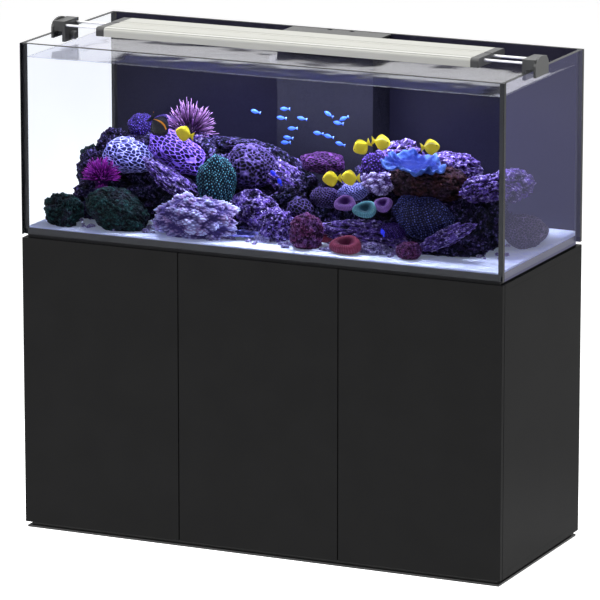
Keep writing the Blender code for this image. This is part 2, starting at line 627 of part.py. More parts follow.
def make_mount(name, side, carrier):
    """One end's clamp, its two rods and its thumb screw."""
    outer_face = WIDTH / 2 + CLEARANCE
    half = CLAMP_LENGTH / 2
    middle = CLAMP_FRONT + half
    arch = [(half * math.cos(a), CLAMP_UP - half * 0.5 + half * 0.5 * math.sin(a))
            for a in [index / 10 * math.pi for index in range(11)]]
    outline = [(-half, -CLAMP_DOWN), (half, -CLAMP_DOWN)] + arch
    plate_x = side * (outer_face + CLAMP_PLATE / 2)
    clamp = as_mesh(flat_outline("lamp_clamp_" + name, [outline], CLAMP_PLATE, (plate_x, middle, RIM), SIDEWAYS,
                                 None))
    clamp.data.materials.append(BLACK_PLASTIC)
    clamp.parent = carrier
    clamp.matrix_parent_inverse = Matrix.Translation(-carrier.location)
    over = RIM + 2 * CLEARANCE
    ends = sorted((side * CLAMP_INNER, side * (outer_face + CLAMP_PLATE / 2)))
    block = box("clamp_block_" + name, (ends[0], CLAMP_FRONT + 0.003, over),
                (ends[1], CLAMP_FRONT + CLAMP_LENGTH - 0.003, RIM + CLAMP_BLOCK), None, collection=CUTTERS)
    cut(clamp, block, "UNION")
    ends = sorted((side * CLAMP_INNER, side * (CLAMP_INNER + CLAMP_JAW)))
    jaw = box("clamp_jaw_" + name, (ends[0], CLAMP_FRONT + 0.006, RIM - CLAMP_JAW_DOWN),
              (ends[1], CLAMP_FRONT + CLAMP_LENGTH - 0.006, over + 0.004), None, collection=CUTTERS)
    cut(clamp, jaw, "UNION")

    along = (0, side * math.pi / 2, 0)
    rod_end = outer_face - 0.004
    rod_start = LAMP_LENGTH / 2 - ROD_IN_LAMP
    for label, y in zip(("front", "back"), ROD_Y):
        bore = rod("rod_bore_" + name + label, ROD_RADIUS + CLEARANCE, CLAMP_INNER / 2, rod_end + CLEARANCE, None,
                   (0, y, ROD_Z), None, along, CUTTERS)
        cut(clamp, bore)
        rod("lamp_rod_" + name + "_" + label, ROD_RADIUS, rod_start, rod_end, STEEL, (0, y, ROD_Z), carrier, along)

    screw_z = RIM - SCREW_DOWN
    bore = rod("screw_bore_" + name, SCREW_RADIUS + CLEARANCE, CLAMP_INNER - BOARD, GLASS_X, None,
               (0, middle, screw_z), None, along, CUTTERS)
    cut(clamp, bore)
    pivot = empty_at("pivot_screw_" + name, (side * CLAMP_INNER, middle, screw_z))
    pivot.parent = carrier
    pivot.matrix_parent_inverse = Matrix.Translation(-carrier.location)
    tip = GLASS_X - CLEARANCE
    knob = CLAMP_INNER - CLEARANCE
    profile = [(0, tip), (SCREW_RADIUS, tip), (SCREW_RADIUS, knob), (KNOB_RADIUS, knob),
               (KNOB_RADIUS, knob - KNOB_LENGTH * 0.85), (KNOB_RADIUS * 0.85, knob - KNOB_LENGTH),
               (0, knob - KNOB_LENGTH)]
    turned("clamp_screw_" + name, profile, (0, middle, screw_z), BLACK_PLASTIC, pivot, along)


def make_contents():
    """The sand bed round the column and the two rock piles."""
    reach_x, reach_y = GLASS_X - SAND_INSET, GLASS_Y - SAND_INSET
    half = COLUMN_WIDTH / 2 + 0.002
    front = COLUMN_FRONT - 0.002
    outline = [(-reach_x, -reach_y), (reach_x, -reach_y), (reach_x, reach_y), (half, reach_y), (half, front),
               (-half, front), (-half, reach_y), (-reach_x, reach_y)]
    low = TANK_FLOOR + CLEARANCE
    flat_outline("sand_bed", [outline], SAND_DEPTH, (0, 0, low + SAND_DEPTH / 2), (0, 0, 0), SAND)
    sand_top = low + SAND_DEPTH
    for name, ((x, y), radii, seed) in ROCKS.items():
        mesh = bpy.data.meshes.new(name)
        shape = bmesh.new()
        bmesh.ops.create_icosphere(shape, subdivisions=3, radius=1.0)
        for vert in shape.verts:
            bump = 1.0 + 0.12 * noise.noise(vert.co * 2.2 + Vector((seed, 0, 0)))
            vert.co = Vector((vert.co.x * radii[0], vert.co.y * radii[1], vert.co.z * radii[2])) * bump
            vert.co.z = max(vert.co.z, -radii[2] * 0.55)
        shape.to_mesh(mesh)
        shape.free()
        rock = add_object(name, mesh, ROCK)
        rock.location = (x, y, sand_top + 2 * CLEARANCE + radii[2] * 0.55)


def main():
    """Build every sub-part."""
    make_base()
    top_panel = make_carcass()
    for index, (name, side) in enumerate((("left", -1), ("middle", -1), ("right", 1))):
        make_door(name, index, side, top_panel)
    make_tank()
    make_column()
    make_plumbing()
    make_sump()
    carrier = empty_at("lift_lamp", (0, LAMP_Y, RIM))
    make_lamp(carrier)
    for name, side in (("left", -1), ("right", 1)):
        make_mount(name, side, carrier)
    make_contents()


main()
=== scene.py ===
"""Looks for the reef aquarium on its three-door cabinet: finishes, glass, water, reef, fish and lamp.

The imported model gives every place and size. Each sub-assembly is a class that builds its own
meshes and dresses them, and main() runs them in order.
"""

import logging
import math
import random
from dataclasses import dataclass, field
from enum import Enum
from typing import Callable, Iterable, Optional

import bmesh
import bpy
from mathutils import Euler, Matrix, Vector, kdtree, noise


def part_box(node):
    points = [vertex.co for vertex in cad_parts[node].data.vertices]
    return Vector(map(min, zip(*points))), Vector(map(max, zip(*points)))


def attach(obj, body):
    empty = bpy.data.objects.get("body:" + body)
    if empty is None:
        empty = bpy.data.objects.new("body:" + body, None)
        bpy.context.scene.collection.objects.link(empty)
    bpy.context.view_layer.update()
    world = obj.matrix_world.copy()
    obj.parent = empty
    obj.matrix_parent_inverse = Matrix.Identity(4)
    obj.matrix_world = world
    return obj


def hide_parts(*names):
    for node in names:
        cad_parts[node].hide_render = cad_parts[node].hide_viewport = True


Colour = tuple[float, float, float]
LOG = logging.getLogger("aquarium")

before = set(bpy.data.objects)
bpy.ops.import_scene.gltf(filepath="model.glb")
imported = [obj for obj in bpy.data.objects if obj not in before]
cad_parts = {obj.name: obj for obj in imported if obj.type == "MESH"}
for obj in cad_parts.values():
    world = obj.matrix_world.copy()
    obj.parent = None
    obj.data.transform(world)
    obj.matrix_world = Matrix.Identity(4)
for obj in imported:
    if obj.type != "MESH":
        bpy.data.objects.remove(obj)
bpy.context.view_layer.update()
WET_SPECULAR = 0.10   # level for what stands in water, where little is mirrored
WALL_MARGIN = 0.004   # metres kept between the reef and the panes
SAND_LEVEL = 0.008    # metres of sand over the bottom glass at the front
DUST_TONE = (0.5, 0.5, 0.5)


# ---------------------------------------------------------------- node helpers

class Wiring:
    """A node tree with short ways to add and join nodes."""

    def __init__(self, tree: bpy.types.NodeTree) -> None:
        """Keep the tree and empty it.

        Args:
            tree: the node tree of a material, world or group.
        """
        self.tree = tree
        self.tree.nodes.clear()

    def add(self, kind: str, sockets: Optional[dict] = None, **settings: object) -> bpy.types.Node:
        """Add a node.

        Args:
            kind: the node's type without the leading ShaderNode.
            sockets: input values or output sockets to join, by socket name or number.
            settings: node properties to set.

        Returns:
            The new node.
        """
        name = kind if kind.startswith("NodeGroup") else "ShaderNode" + kind
        node = self.tree.nodes.new(name)
        for key, value in settings.items():
            setattr(node, key, value)
        for key, value in (sockets or {}).items():
            self.feed(node.inputs[key], value)
        return node

    def feed(self, socket: bpy.types.NodeSocket, value: object) -> None:
        """Join an output to a socket, or set the socket's own value."""
        if isinstance(value, bpy.types.NodeSocket):
            self.tree.links.new(value, socket)
        elif isinstance(value, tuple) and len(value) == 3 and socket.type == "RGBA":
            socket.default_value = (*value, 1.0)
        else:
            socket.default_value = value

    def mix(self, mask: object, first: object, second: object, mode: str = "MIX") -> bpy.types.NodeSocket:
        """Mix two colours.

        Args:
            mask: the share of the second colour.
            first: a colour or a socket.
            second: a colour or a socket.
            mode: the blend type.

        Returns:
            The mixed colour's socket.
        """
        node = self.add("Mix", data_type="RGBA", blend_type=mode)
        for index, value in ((0, mask), (6, first), (7, second)):
            self.feed(node.inputs[index], value)
        return node.outputs[2]

    def span(self, value: object, low: float, high: float, to_low: float = 0.0,
             to_high: float = 1.0) -> bpy.types.NodeSocket:
        """Map a value smoothly from one range to another and return its socket."""
        node = self.add("MapRange", {0: value, 1: low, 2: high, 3: to_low, 4: to_high},
                        interpolation_type="SMOOTHSTEP")
        return node.outputs[0]

    def maths(self, operation: str, first: object, second: object = 0.0) -> bpy.types.NodeSocket:
        """One step of arithmetic and its result's socket."""
        return self.add("Math", {0: first, 1: second}, operation=operation).outputs[0]


class GroupLibrary:
    """The shader node groups that several materials share, each built once."""

    def __init__(self) -> None:
        """Start with no groups built."""
        self._built: dict[str, bpy.types.NodeTree] = {}

    def get(self, name: str) -> bpy.types.NodeTree:
        """Return a group by name, building it the first time."""
        if name not in self._built:
            self._built[name] = getattr(self, "_" + name)()
        return self._built[name]

    def _start(self, name: str, inputs: dict[str, float], outputs: Iterable[str]) -> Wiring:
        """Make a group with a Vector input, number inputs and number outputs.

        Args:
            name: the group's name.
            inputs: number inputs with their default values.
            outputs: names of the number outputs.

        Returns:
            The wiring of the new group, with its input and output nodes added.
        """
        tree = bpy.data.node_groups.new(name, "ShaderNodeTree")
        wiring = Wiring(tree)
        tree.interface.new_socket("Vector", in_out="INPUT", socket_type="NodeSocketVector")
        for key, value in inputs.items():
            tree.interface.new_socket(key, in_out="INPUT", socket_type="NodeSocketFloat").default_value = value
        for key in outputs:
            tree.interface.new_socket(key, in_out="OUTPUT", socket_type="NodeSocketFloat")
        wiring.inside = wiring.add("NodeGroupInput")
        wiring.outside = wiring.add("NodeGroupOutput")
        return wiring

    def _blotches(self) -> bpy.types.NodeTree:
        """Soft patches: Mask is 0 to 1 over the surface."""
        wiring = self._start("soft_blotches", {"Scale": 5.0, "Low": 0.4, "High": 0.6}, ("Mask",))
        inside = wiring.inside.outputs
        patch = wiring.add("TexNoise", {"Vector": inside["Vector"], "Scale": inside["Scale"], "Detail": 4.0,
                                        "Roughness": 0.6})
        spread = wiring.add("MapRange", {0: patch.outputs[0], 1: inside["Low"], 2: inside["High"]},
                            interpolation_type="SMOOTHSTEP")
        wiring.feed(wiring.outside.inputs["Mask"], spread.outputs[0])
        return wiring.tree

    def _grain(self) -> bpy.types.NodeTree:
        """Fine surface grain: Height for a bump and Mask for colour and roughness."""
        wiring = self._start("fine_grain", {"Scale": 400.0, "Amount": 1.0}, ("Height", "Mask"))
        inside = wiring.inside.outputs
        fine = wiring.add("TexNoise", {"Vector": inside["Vector"], "Scale": inside["Scale"], "Detail": 3.0})
        height = wiring.maths("MULTIPLY", fine.outputs[0], inside["Amount"])
        wiring.feed(wiring.outside.inputs["Height"], height)
        wiring.feed(wiring.outside.inputs["Mask"], wiring.span(fine.outputs[0], 0.35, 0.65))
        return wiring.tree

    def _dust(self) -> bpy.types.NodeTree:
        """Dust that settles on faces that look up, in soft patches."""
        wiring = self._start("settled_dust", {"Scale": 6.0, "Amount": 0.2}, ("Mask",))
        inside = wiring.inside.outputs
        facing = wiring.add("SeparateXYZ", {0: wiring.add("NewGeometry").outputs["Normal"]})
        upward = wiring.span(facing.outputs[2], 0.3, 1.0)
        patch = wiring.add("TexNoise", {"Vector": inside["Vector"], "Scale": inside["Scale"], "Detail": 5.0})
        share = wiring.maths("MULTIPLY", wiring.span(patch.outputs[0], 0.35, 0.75), upward)
        wiring.feed(wiring.outside.inputs["Mask"], wiring.maths("MULTIPLY", share, inside["Amount"]))
        return wiring.tree

    def _pores(self) -> bpy.types.NodeTree:
        """Small pits between cells: Height for a bump and Mask, which is 1 in a pit."""
        wiring = self._start("pores", {"Scale": 120.0, "Width": 0.35}, ("Height", "Mask"))
        inside = wiring.inside.outputs
        cells = wiring.add("TexVoronoi", {"Vector": inside["Vector"], "Scale": inside["Scale"]})
        pit = wiring.add("MapRange", {0: cells.outputs["Distance"], 1: inside["Width"], 2: 0.0},
                         interpolation_type="SMOOTHSTEP")
        wiring.feed(wiring.outside.inputs["Height"], cells.outputs["Distance"])
        wiring.feed(wiring.outside.inputs["Mask"], pit.outputs[0])
        return wiring.tree


GROUPS = GroupLibrary()


class MaterialWiring(Wiring):
    """A new material's tree with its output, its object coordinates and its shared groups."""

    def __init__(self, name: str) -> None:
        """Make the material.

        Args:
            name: the material's name.
        """
        self.material = bpy.data.materials.new(name)
        self.material.use_nodes = True
        super().__init__(self.material.node_tree)
        self.output = self.add("OutputMaterial")
        self.place = self.add("TexCoord").outputs["Object"]

    def group(self, name: str, **values: object) -> bpy.types.NodeOutputs:
        """Place a shared group and return its outputs."""
        node = self.add("Group", node_tree=GROUPS.get(name))
        self.feed(node.inputs["Vector"], values.pop("vector", self.place))
        for key, value in values.items():
            self.feed(node.inputs[key], value)
        return node.outputs

    def stretched(self, x: float, y: float, z: float) -> bpy.types.NodeSocket:
        """Object coordinates stretched along some axes."""
        return self.add("Mapping", {"Vector": self.place, "Scale": (x, y, z)}).outputs[0]

    def growth(self) -> bpy.types.NodeSocket:
        """How far the surface has grown out there, 0 to 1."""
        return self.add("Attribute", attribute_name="growth").outputs["Fac"]

    def bump(self, height: object, distance: float, strength: float = 1.0) -> bpy.types.NodeSocket:
        """A bump from a height socket, with its depth in metres."""
        return self.add("Bump", {"Height": height, "Distance": distance, "Strength": strength}).outputs[0]

    def glowing(self, colour: object, strength: float, **sockets: object) -> bpy.types.Material:
        """Finish with a Principled shader that also gives light of its own colour."""
        return self.principled(Base_Color=colour, Emission_Color=colour, Emission_Strength=strength, **sockets)

    def principled(self, **sockets: object) -> bpy.types.Material:
        """Finish the material with a Principled shader; an underscore in a name is a space."""
        named = {key.replace("_", " "): value for key, value in sockets.items()}
        shader = self.add("BsdfPrincipled", named)
        self.feed(self.output.inputs["Surface"], shader.outputs[0])
        return self.material


# ---------------------------------------------------------------- finishes

@dataclass(frozen=True)
class PaintedFinish:
    """A painted, moulded or laminated surface with grain, soft variation and a little dust."""

    name: str
    colour: Colour
    roughness: float
    metallic: float = 0.0
    specular: float = 0.5
    index: float = 1.5
    coat: float = 0.0
    variation: float = 0.15
    grain_scale: float = 900.0
    grain_depth: float = 0.00005
    dust: float = 0.03

    def material(self) -> bpy.types.Material:
        """Build the material."""
        wiring = MaterialWiring(self.name)
        blotch = wiring.group("blotches", Scale=7.0, Low=0.3, High=0.7)["Mask"]
        grain = wiring.group("grain", Scale=self.grain_scale)
        dust = wiring.group("dust", Amount=self.dust)["Mask"]
        darker = tuple(part * (1 - self.variation) for part in self.colour)
        lighter = tuple(part * (1 + self.variation) for part in self.colour)
        colour = wiring.mix(blotch, darker, lighter)
        colour = wiring.mix(dust, colour, DUST_TONE)
        low, high = self.roughness * 0.85, min(1.0, self.roughness * 1.15)
        roughness = wiring.span(grain["Mask"], 0.0, 1.0, low, high)
        return wiring.principled(Base_Color=colour, Roughness=roughness, Metallic=self.metallic,
                                 Specular_IOR_Level=self.specular, IOR=self.index, Coat_Weight=self.coat,
                                 Normal=wiring.bump(grain["Height"], self.grain_depth))


@dataclass(frozen=True)
class BrushedFinish:
    """Drawn or brushed metal whose fine lines run along one axis."""

    name: str
    colour: Colour
    roughness: float
    metallic: float
    along: str = "X"

    def material(self) -> bpy.types.Material:
        """Build the material."""
        wiring = MaterialWiring(self.name)
        stretch = {axis: (4.0 if axis == self.along else 260.0) for axis in "XYZ"}
        lines = wiring.add("TexNoise", {"Vector": wiring.stretched(*stretch.values()), "Scale": 4.0,
                                        "Detail": 4.0}).outputs[0]
        blotch = wiring.group("blotches", Scale=9.0)["Mask"]
        dust = wiring.group("dust", Amount=0.05)["Mask"]
        tone = wiring.mix(wiring.span(lines, 0.3, 0.7), tuple(part * 0.93 for part in self.colour), self.colour)
        tone = wiring.mix(wiring.maths("MULTIPLY", blotch, 0.05), tone, (0.6, 0.6, 0.6))
        tone = wiring.mix(dust, tone, (0.55, 0.55, 0.52))
        roughness = wiring.span(lines, 0.2, 0.8, self.roughness * 0.8, self.roughness * 1.25)
        return wiring.principled(Base_Color=tone, Roughness=roughness, Metallic=self.metallic,
                                 Normal=wiring.bump(lines, 0.00004))


@dataclass(frozen=True)
class ClearFinish:
    """Thin clear glass, acrylic or a water surface: light goes straight through and some is reflected.

    The floor is added to the reflected share, dim is what passes to light other things, and the
    painted reflection is light added for the camera alone where the pane would mirror a pale room.
    """

    name: str
    tint: Colour
    index: float = 1.45
    gain: float = 1.0
    floor: float = 0.0
    sheen: Colour = (1.0, 1.0, 1.0)
    dim: Colour = (0.42, 0.42, 0.52)
    painted_reflection: float = 0.0
    polish: float = 0.02
    ripple_scale: float = 2.0
    ripple_depth: float = 0.0002

    def material(self) -> bpy.types.Material:
        """Build the material."""
        wiring = MaterialWiring(self.name)
        smear = wiring.group("blotches", Scale=3.0, Low=0.35, High=0.7)["Mask"]
        tint = wiring.mix(smear, self.tint, tuple(part * 0.985 for part in self.tint))
        path = wiring.add("LightPath").outputs
        lighting = wiring.maths("MAXIMUM", path["Is Shadow Ray"], path["Is Diffuse Ray"])
        through = wiring.add("BsdfTransparent", {"Color": wiring.mix(lighting, tint, self.dim)})
        ripple = wiring.add("TexNoise", {"Vector": wiring.stretched(1.0, 3.0, 1.0),
                                         "Scale": self.ripple_scale, "Detail": 3.0}).outputs[0]
        normal = wiring.bump(ripple, self.ripple_depth)
        sheen = wiring.add("BsdfGlossy", {"Color": self.sheen, "Roughness": self.polish, "Normal": normal})
        behind = wiring.add("NewGeometry").outputs["Backfacing"]
        index = wiring.span(behind, 0.0, 1.0, self.index, 1.0 / self.index)
        fresnel = wiring.add("Fresnel", {"IOR": index, "Normal": normal}).outputs[0]
        share = wiring.maths("MULTIPLY_ADD", fresnel, self.gain)
        share.node.inputs[2].default_value = self.floor
        share.node.use_clamp = True
        share = wiring.maths("MULTIPLY", share, wiring.maths("SUBTRACT", 1.0, path["Is Shadow Ray"]))
        both = wiring.add("MixShader", {0: share, 1: through.outputs[0], 2: sheen.outputs[0]})
        # painted reflection: emission on camera rays alone, growing with the Fresnel share, where the pane would
        # mirror a pale room
        if self.painted_reflection:
            seen = wiring.maths("MULTIPLY", wiring.maths("MULTIPLY", fresnel, self.painted_reflection), path["Is Camera Ray"])
            painted_reflection_glow = wiring.add("Emission", {"Color": self.sheen, "Strength": seen})
            both = wiring.add("AddShader", {0: both.outputs[0], 1: painted_reflection_glow.outputs[0]})
        wiring.feed(wiring.output.inputs["Surface"], both.outputs[0])
        return wiring.material


@dataclass(frozen=True)
class RockFinish:
    """Reef rock with crusts of algae: painted shade in its hollows and pits, coloured crust, and pale specks that
    are partly pale crust and partly painted highlights on raised parts.
    """

    name: str
    hollow_shade: Colour
    crust: Colour
    patch: Colour
    speck_and_highlight: Colour
    speck_and_highlight_share: float = 0.5
    glow: float = 0.05

    def material(self) -> bpy.types.Material:
        """Build the material."""
        wiring = MaterialWiring(self.name)
        growth = wiring.growth()
        broad = wiring.group("blotches", Scale=22.0, Low=0.42, High=0.6)["Mask"]
        small = wiring.group("blotches", Scale=120.0, Low=0.50, High=0.62)["Mask"]
        grain = wiring.group("grain", Scale=320.0)
        pores = wiring.group("pores", Scale=170.0, Width=0.45)
        colour = wiring.mix(broad, self.crust, self.patch)
        # pale specks on raised parts: partly real pale crust, partly painted highlights
        speck_and_highlight = wiring.maths("MULTIPLY", small, self.speck_and_highlight_share)
        colour = wiring.mix(wiring.maths("MULTIPLY", speck_and_highlight, growth), colour, self.speck_and_highlight)
        # painted shade: the pits and the low-lying hollows turn near-black
        colour = wiring.mix(wiring.maths("MULTIPLY", pores["Mask"], 0.75), colour, self.hollow_shade)
        colour = wiring.mix(wiring.span(growth, 0.15, 0.75), self.hollow_shade, colour)
        height = wiring.maths("ADD", pores["Height"], grain["Height"])
        return wiring.glowing(colour, self.glow, Roughness=wiring.span(grain["Mask"], 0.0, 1.0, 0.5, 0.8),
                              Specular_IOR_Level=WET_SPECULAR, Normal=wiring.bump(height, 0.004, 0.9))


@dataclass(frozen=True)
class CoralFinish:
    """Living coral: the valley colour turns to the ridge colour with the shape's growth attribute."""

    name: str
    valley: Colour
    ridge: Colour
    tip: Colour
    glow: float = 0.12
    patch: Optional[Colour] = None
    grain_scale: float = 500.0
    grain_depth: float = 0.0008
    low: float = 0.25
    high: float = 0.75

    def material(self) -> bpy.types.Material:
        """Build the material."""
        wiring = MaterialWiring(self.name)
        growth = wiring.growth()
        grain = wiring.group("grain", Scale=self.grain_scale)
        blotch = wiring.group("blotches", Scale=35.0, Low=0.35, High=0.65)["Mask"]
        ridge = wiring.mix(blotch, self.patch or tuple(part * 0.6 for part in self.ridge), self.ridge)
        ridge = wiring.mix(wiring.maths("MULTIPLY", grain["Mask"], 0.35), ridge, self.tip)
        colour = wiring.mix(wiring.span(growth, self.low, self.high), self.valley, ridge)
        colour = wiring.mix(wiring.span(growth, self.high, 1.0), colour, self.tip)
        return wiring.glowing(colour, self.glow, Roughness=wiring.span(grain["Mask"], 0.0, 1.0, 0.35, 0.6),
                              Specular_IOR_Level=WET_SPECULAR,
                              Normal=wiring.bump(grain["Height"], self.grain_depth))


@dataclass(frozen=True)
class SandFinish:
    """Coral sand: fine pale grains with a few darker ones and crumbs of shell."""

    name: str
    pale: Colour
    dark: Colour
    glow: float = 0.12
    crumb: Colour = (0.20, 0.17, 0.28)

    def material(self) -> bpy.types.Material:
        """Build the material."""
        wiring = MaterialWiring(self.name)
        grains = wiring.group("pores", Scale=420.0, Width=0.30)
        broad = wiring.group("blotches", Scale=14.0, Low=0.4, High=0.65)["Mask"]
        crumbs = wiring.group("blotches", Scale=160.0, Low=0.66, High=0.72)["Mask"]
        colour = wiring.mix(wiring.maths("MULTIPLY", broad, 0.35), self.pale, self.dark)
        colour = wiring.mix(wiring.maths("MULTIPLY", grains["Mask"], 0.35), colour, self.dark)
        colour = wiring.mix(crumbs, colour, self.crumb)
        return wiring.glowing(colour, self.glow, Roughness=0.85, Specular_IOR_Level=WET_SPECULAR,
                              Normal=wiring.bump(grains["Height"], 0.0015, 0.8))


@dataclass(frozen=True)
class FishFinish:
    """Fish skin: scales, and a second colour where the growth attribute is high."""

    name: str
    body: Colour
    mark: Colour
    glow: float = 0.15

    def material(self) -> bpy.types.Material:
        """Build the material."""
        wiring = MaterialWiring(self.name)
        growth = wiring.growth()
        scales = wiring.group("pores", Scale=900.0, Width=0.5)
        shade = wiring.mix(wiring.maths("MULTIPLY", scales["Mask"], 0.25), self.body,
                           tuple(part * 0.6 for part in self.body))
        colour = wiring.mix(wiring.span(growth, 0.45, 0.65), shade, self.mark)
        return wiring.glowing(colour, self.glow, Roughness=wiring.span(scales["Mask"], 0.0, 1.0, 0.25, 0.45),
                              Specular_IOR_Level=0.2, Normal=wiring.bump(scales["Height"], 0.0003))


@dataclass(frozen=True)
class LitFinish:
    """The lamp's frosted lens with its rows of diodes, lit."""

    name: str
    lens: Colour
    diode: Colour
    strength: float

    def material(self) -> bpy.types.Material:
        """Build the material."""
        wiring = MaterialWiring(self.name)
        spots = wiring.add("TexVoronoi", {"Vector": wiring.stretched(1.0, 1.0, 0.05), "Scale": 55.0,
                                          "Randomness": 0.0}).outputs["Distance"]
        mask = wiring.span(spots, 0.32, 0.18)
        colour = wiring.mix(mask, self.lens, self.diode)
        mirrored = wiring.add("LightPath").outputs["Is Glossy Ray"]
        return wiring.principled(Base_Color=colour, Roughness=wiring.span(spots, 0.0, 0.6, 0.2, 0.4),
                                 Emission_Color=colour,
                                 Emission_Strength=wiring.span(mirrored, 0.0, 1.0, self.strength, 0.0))


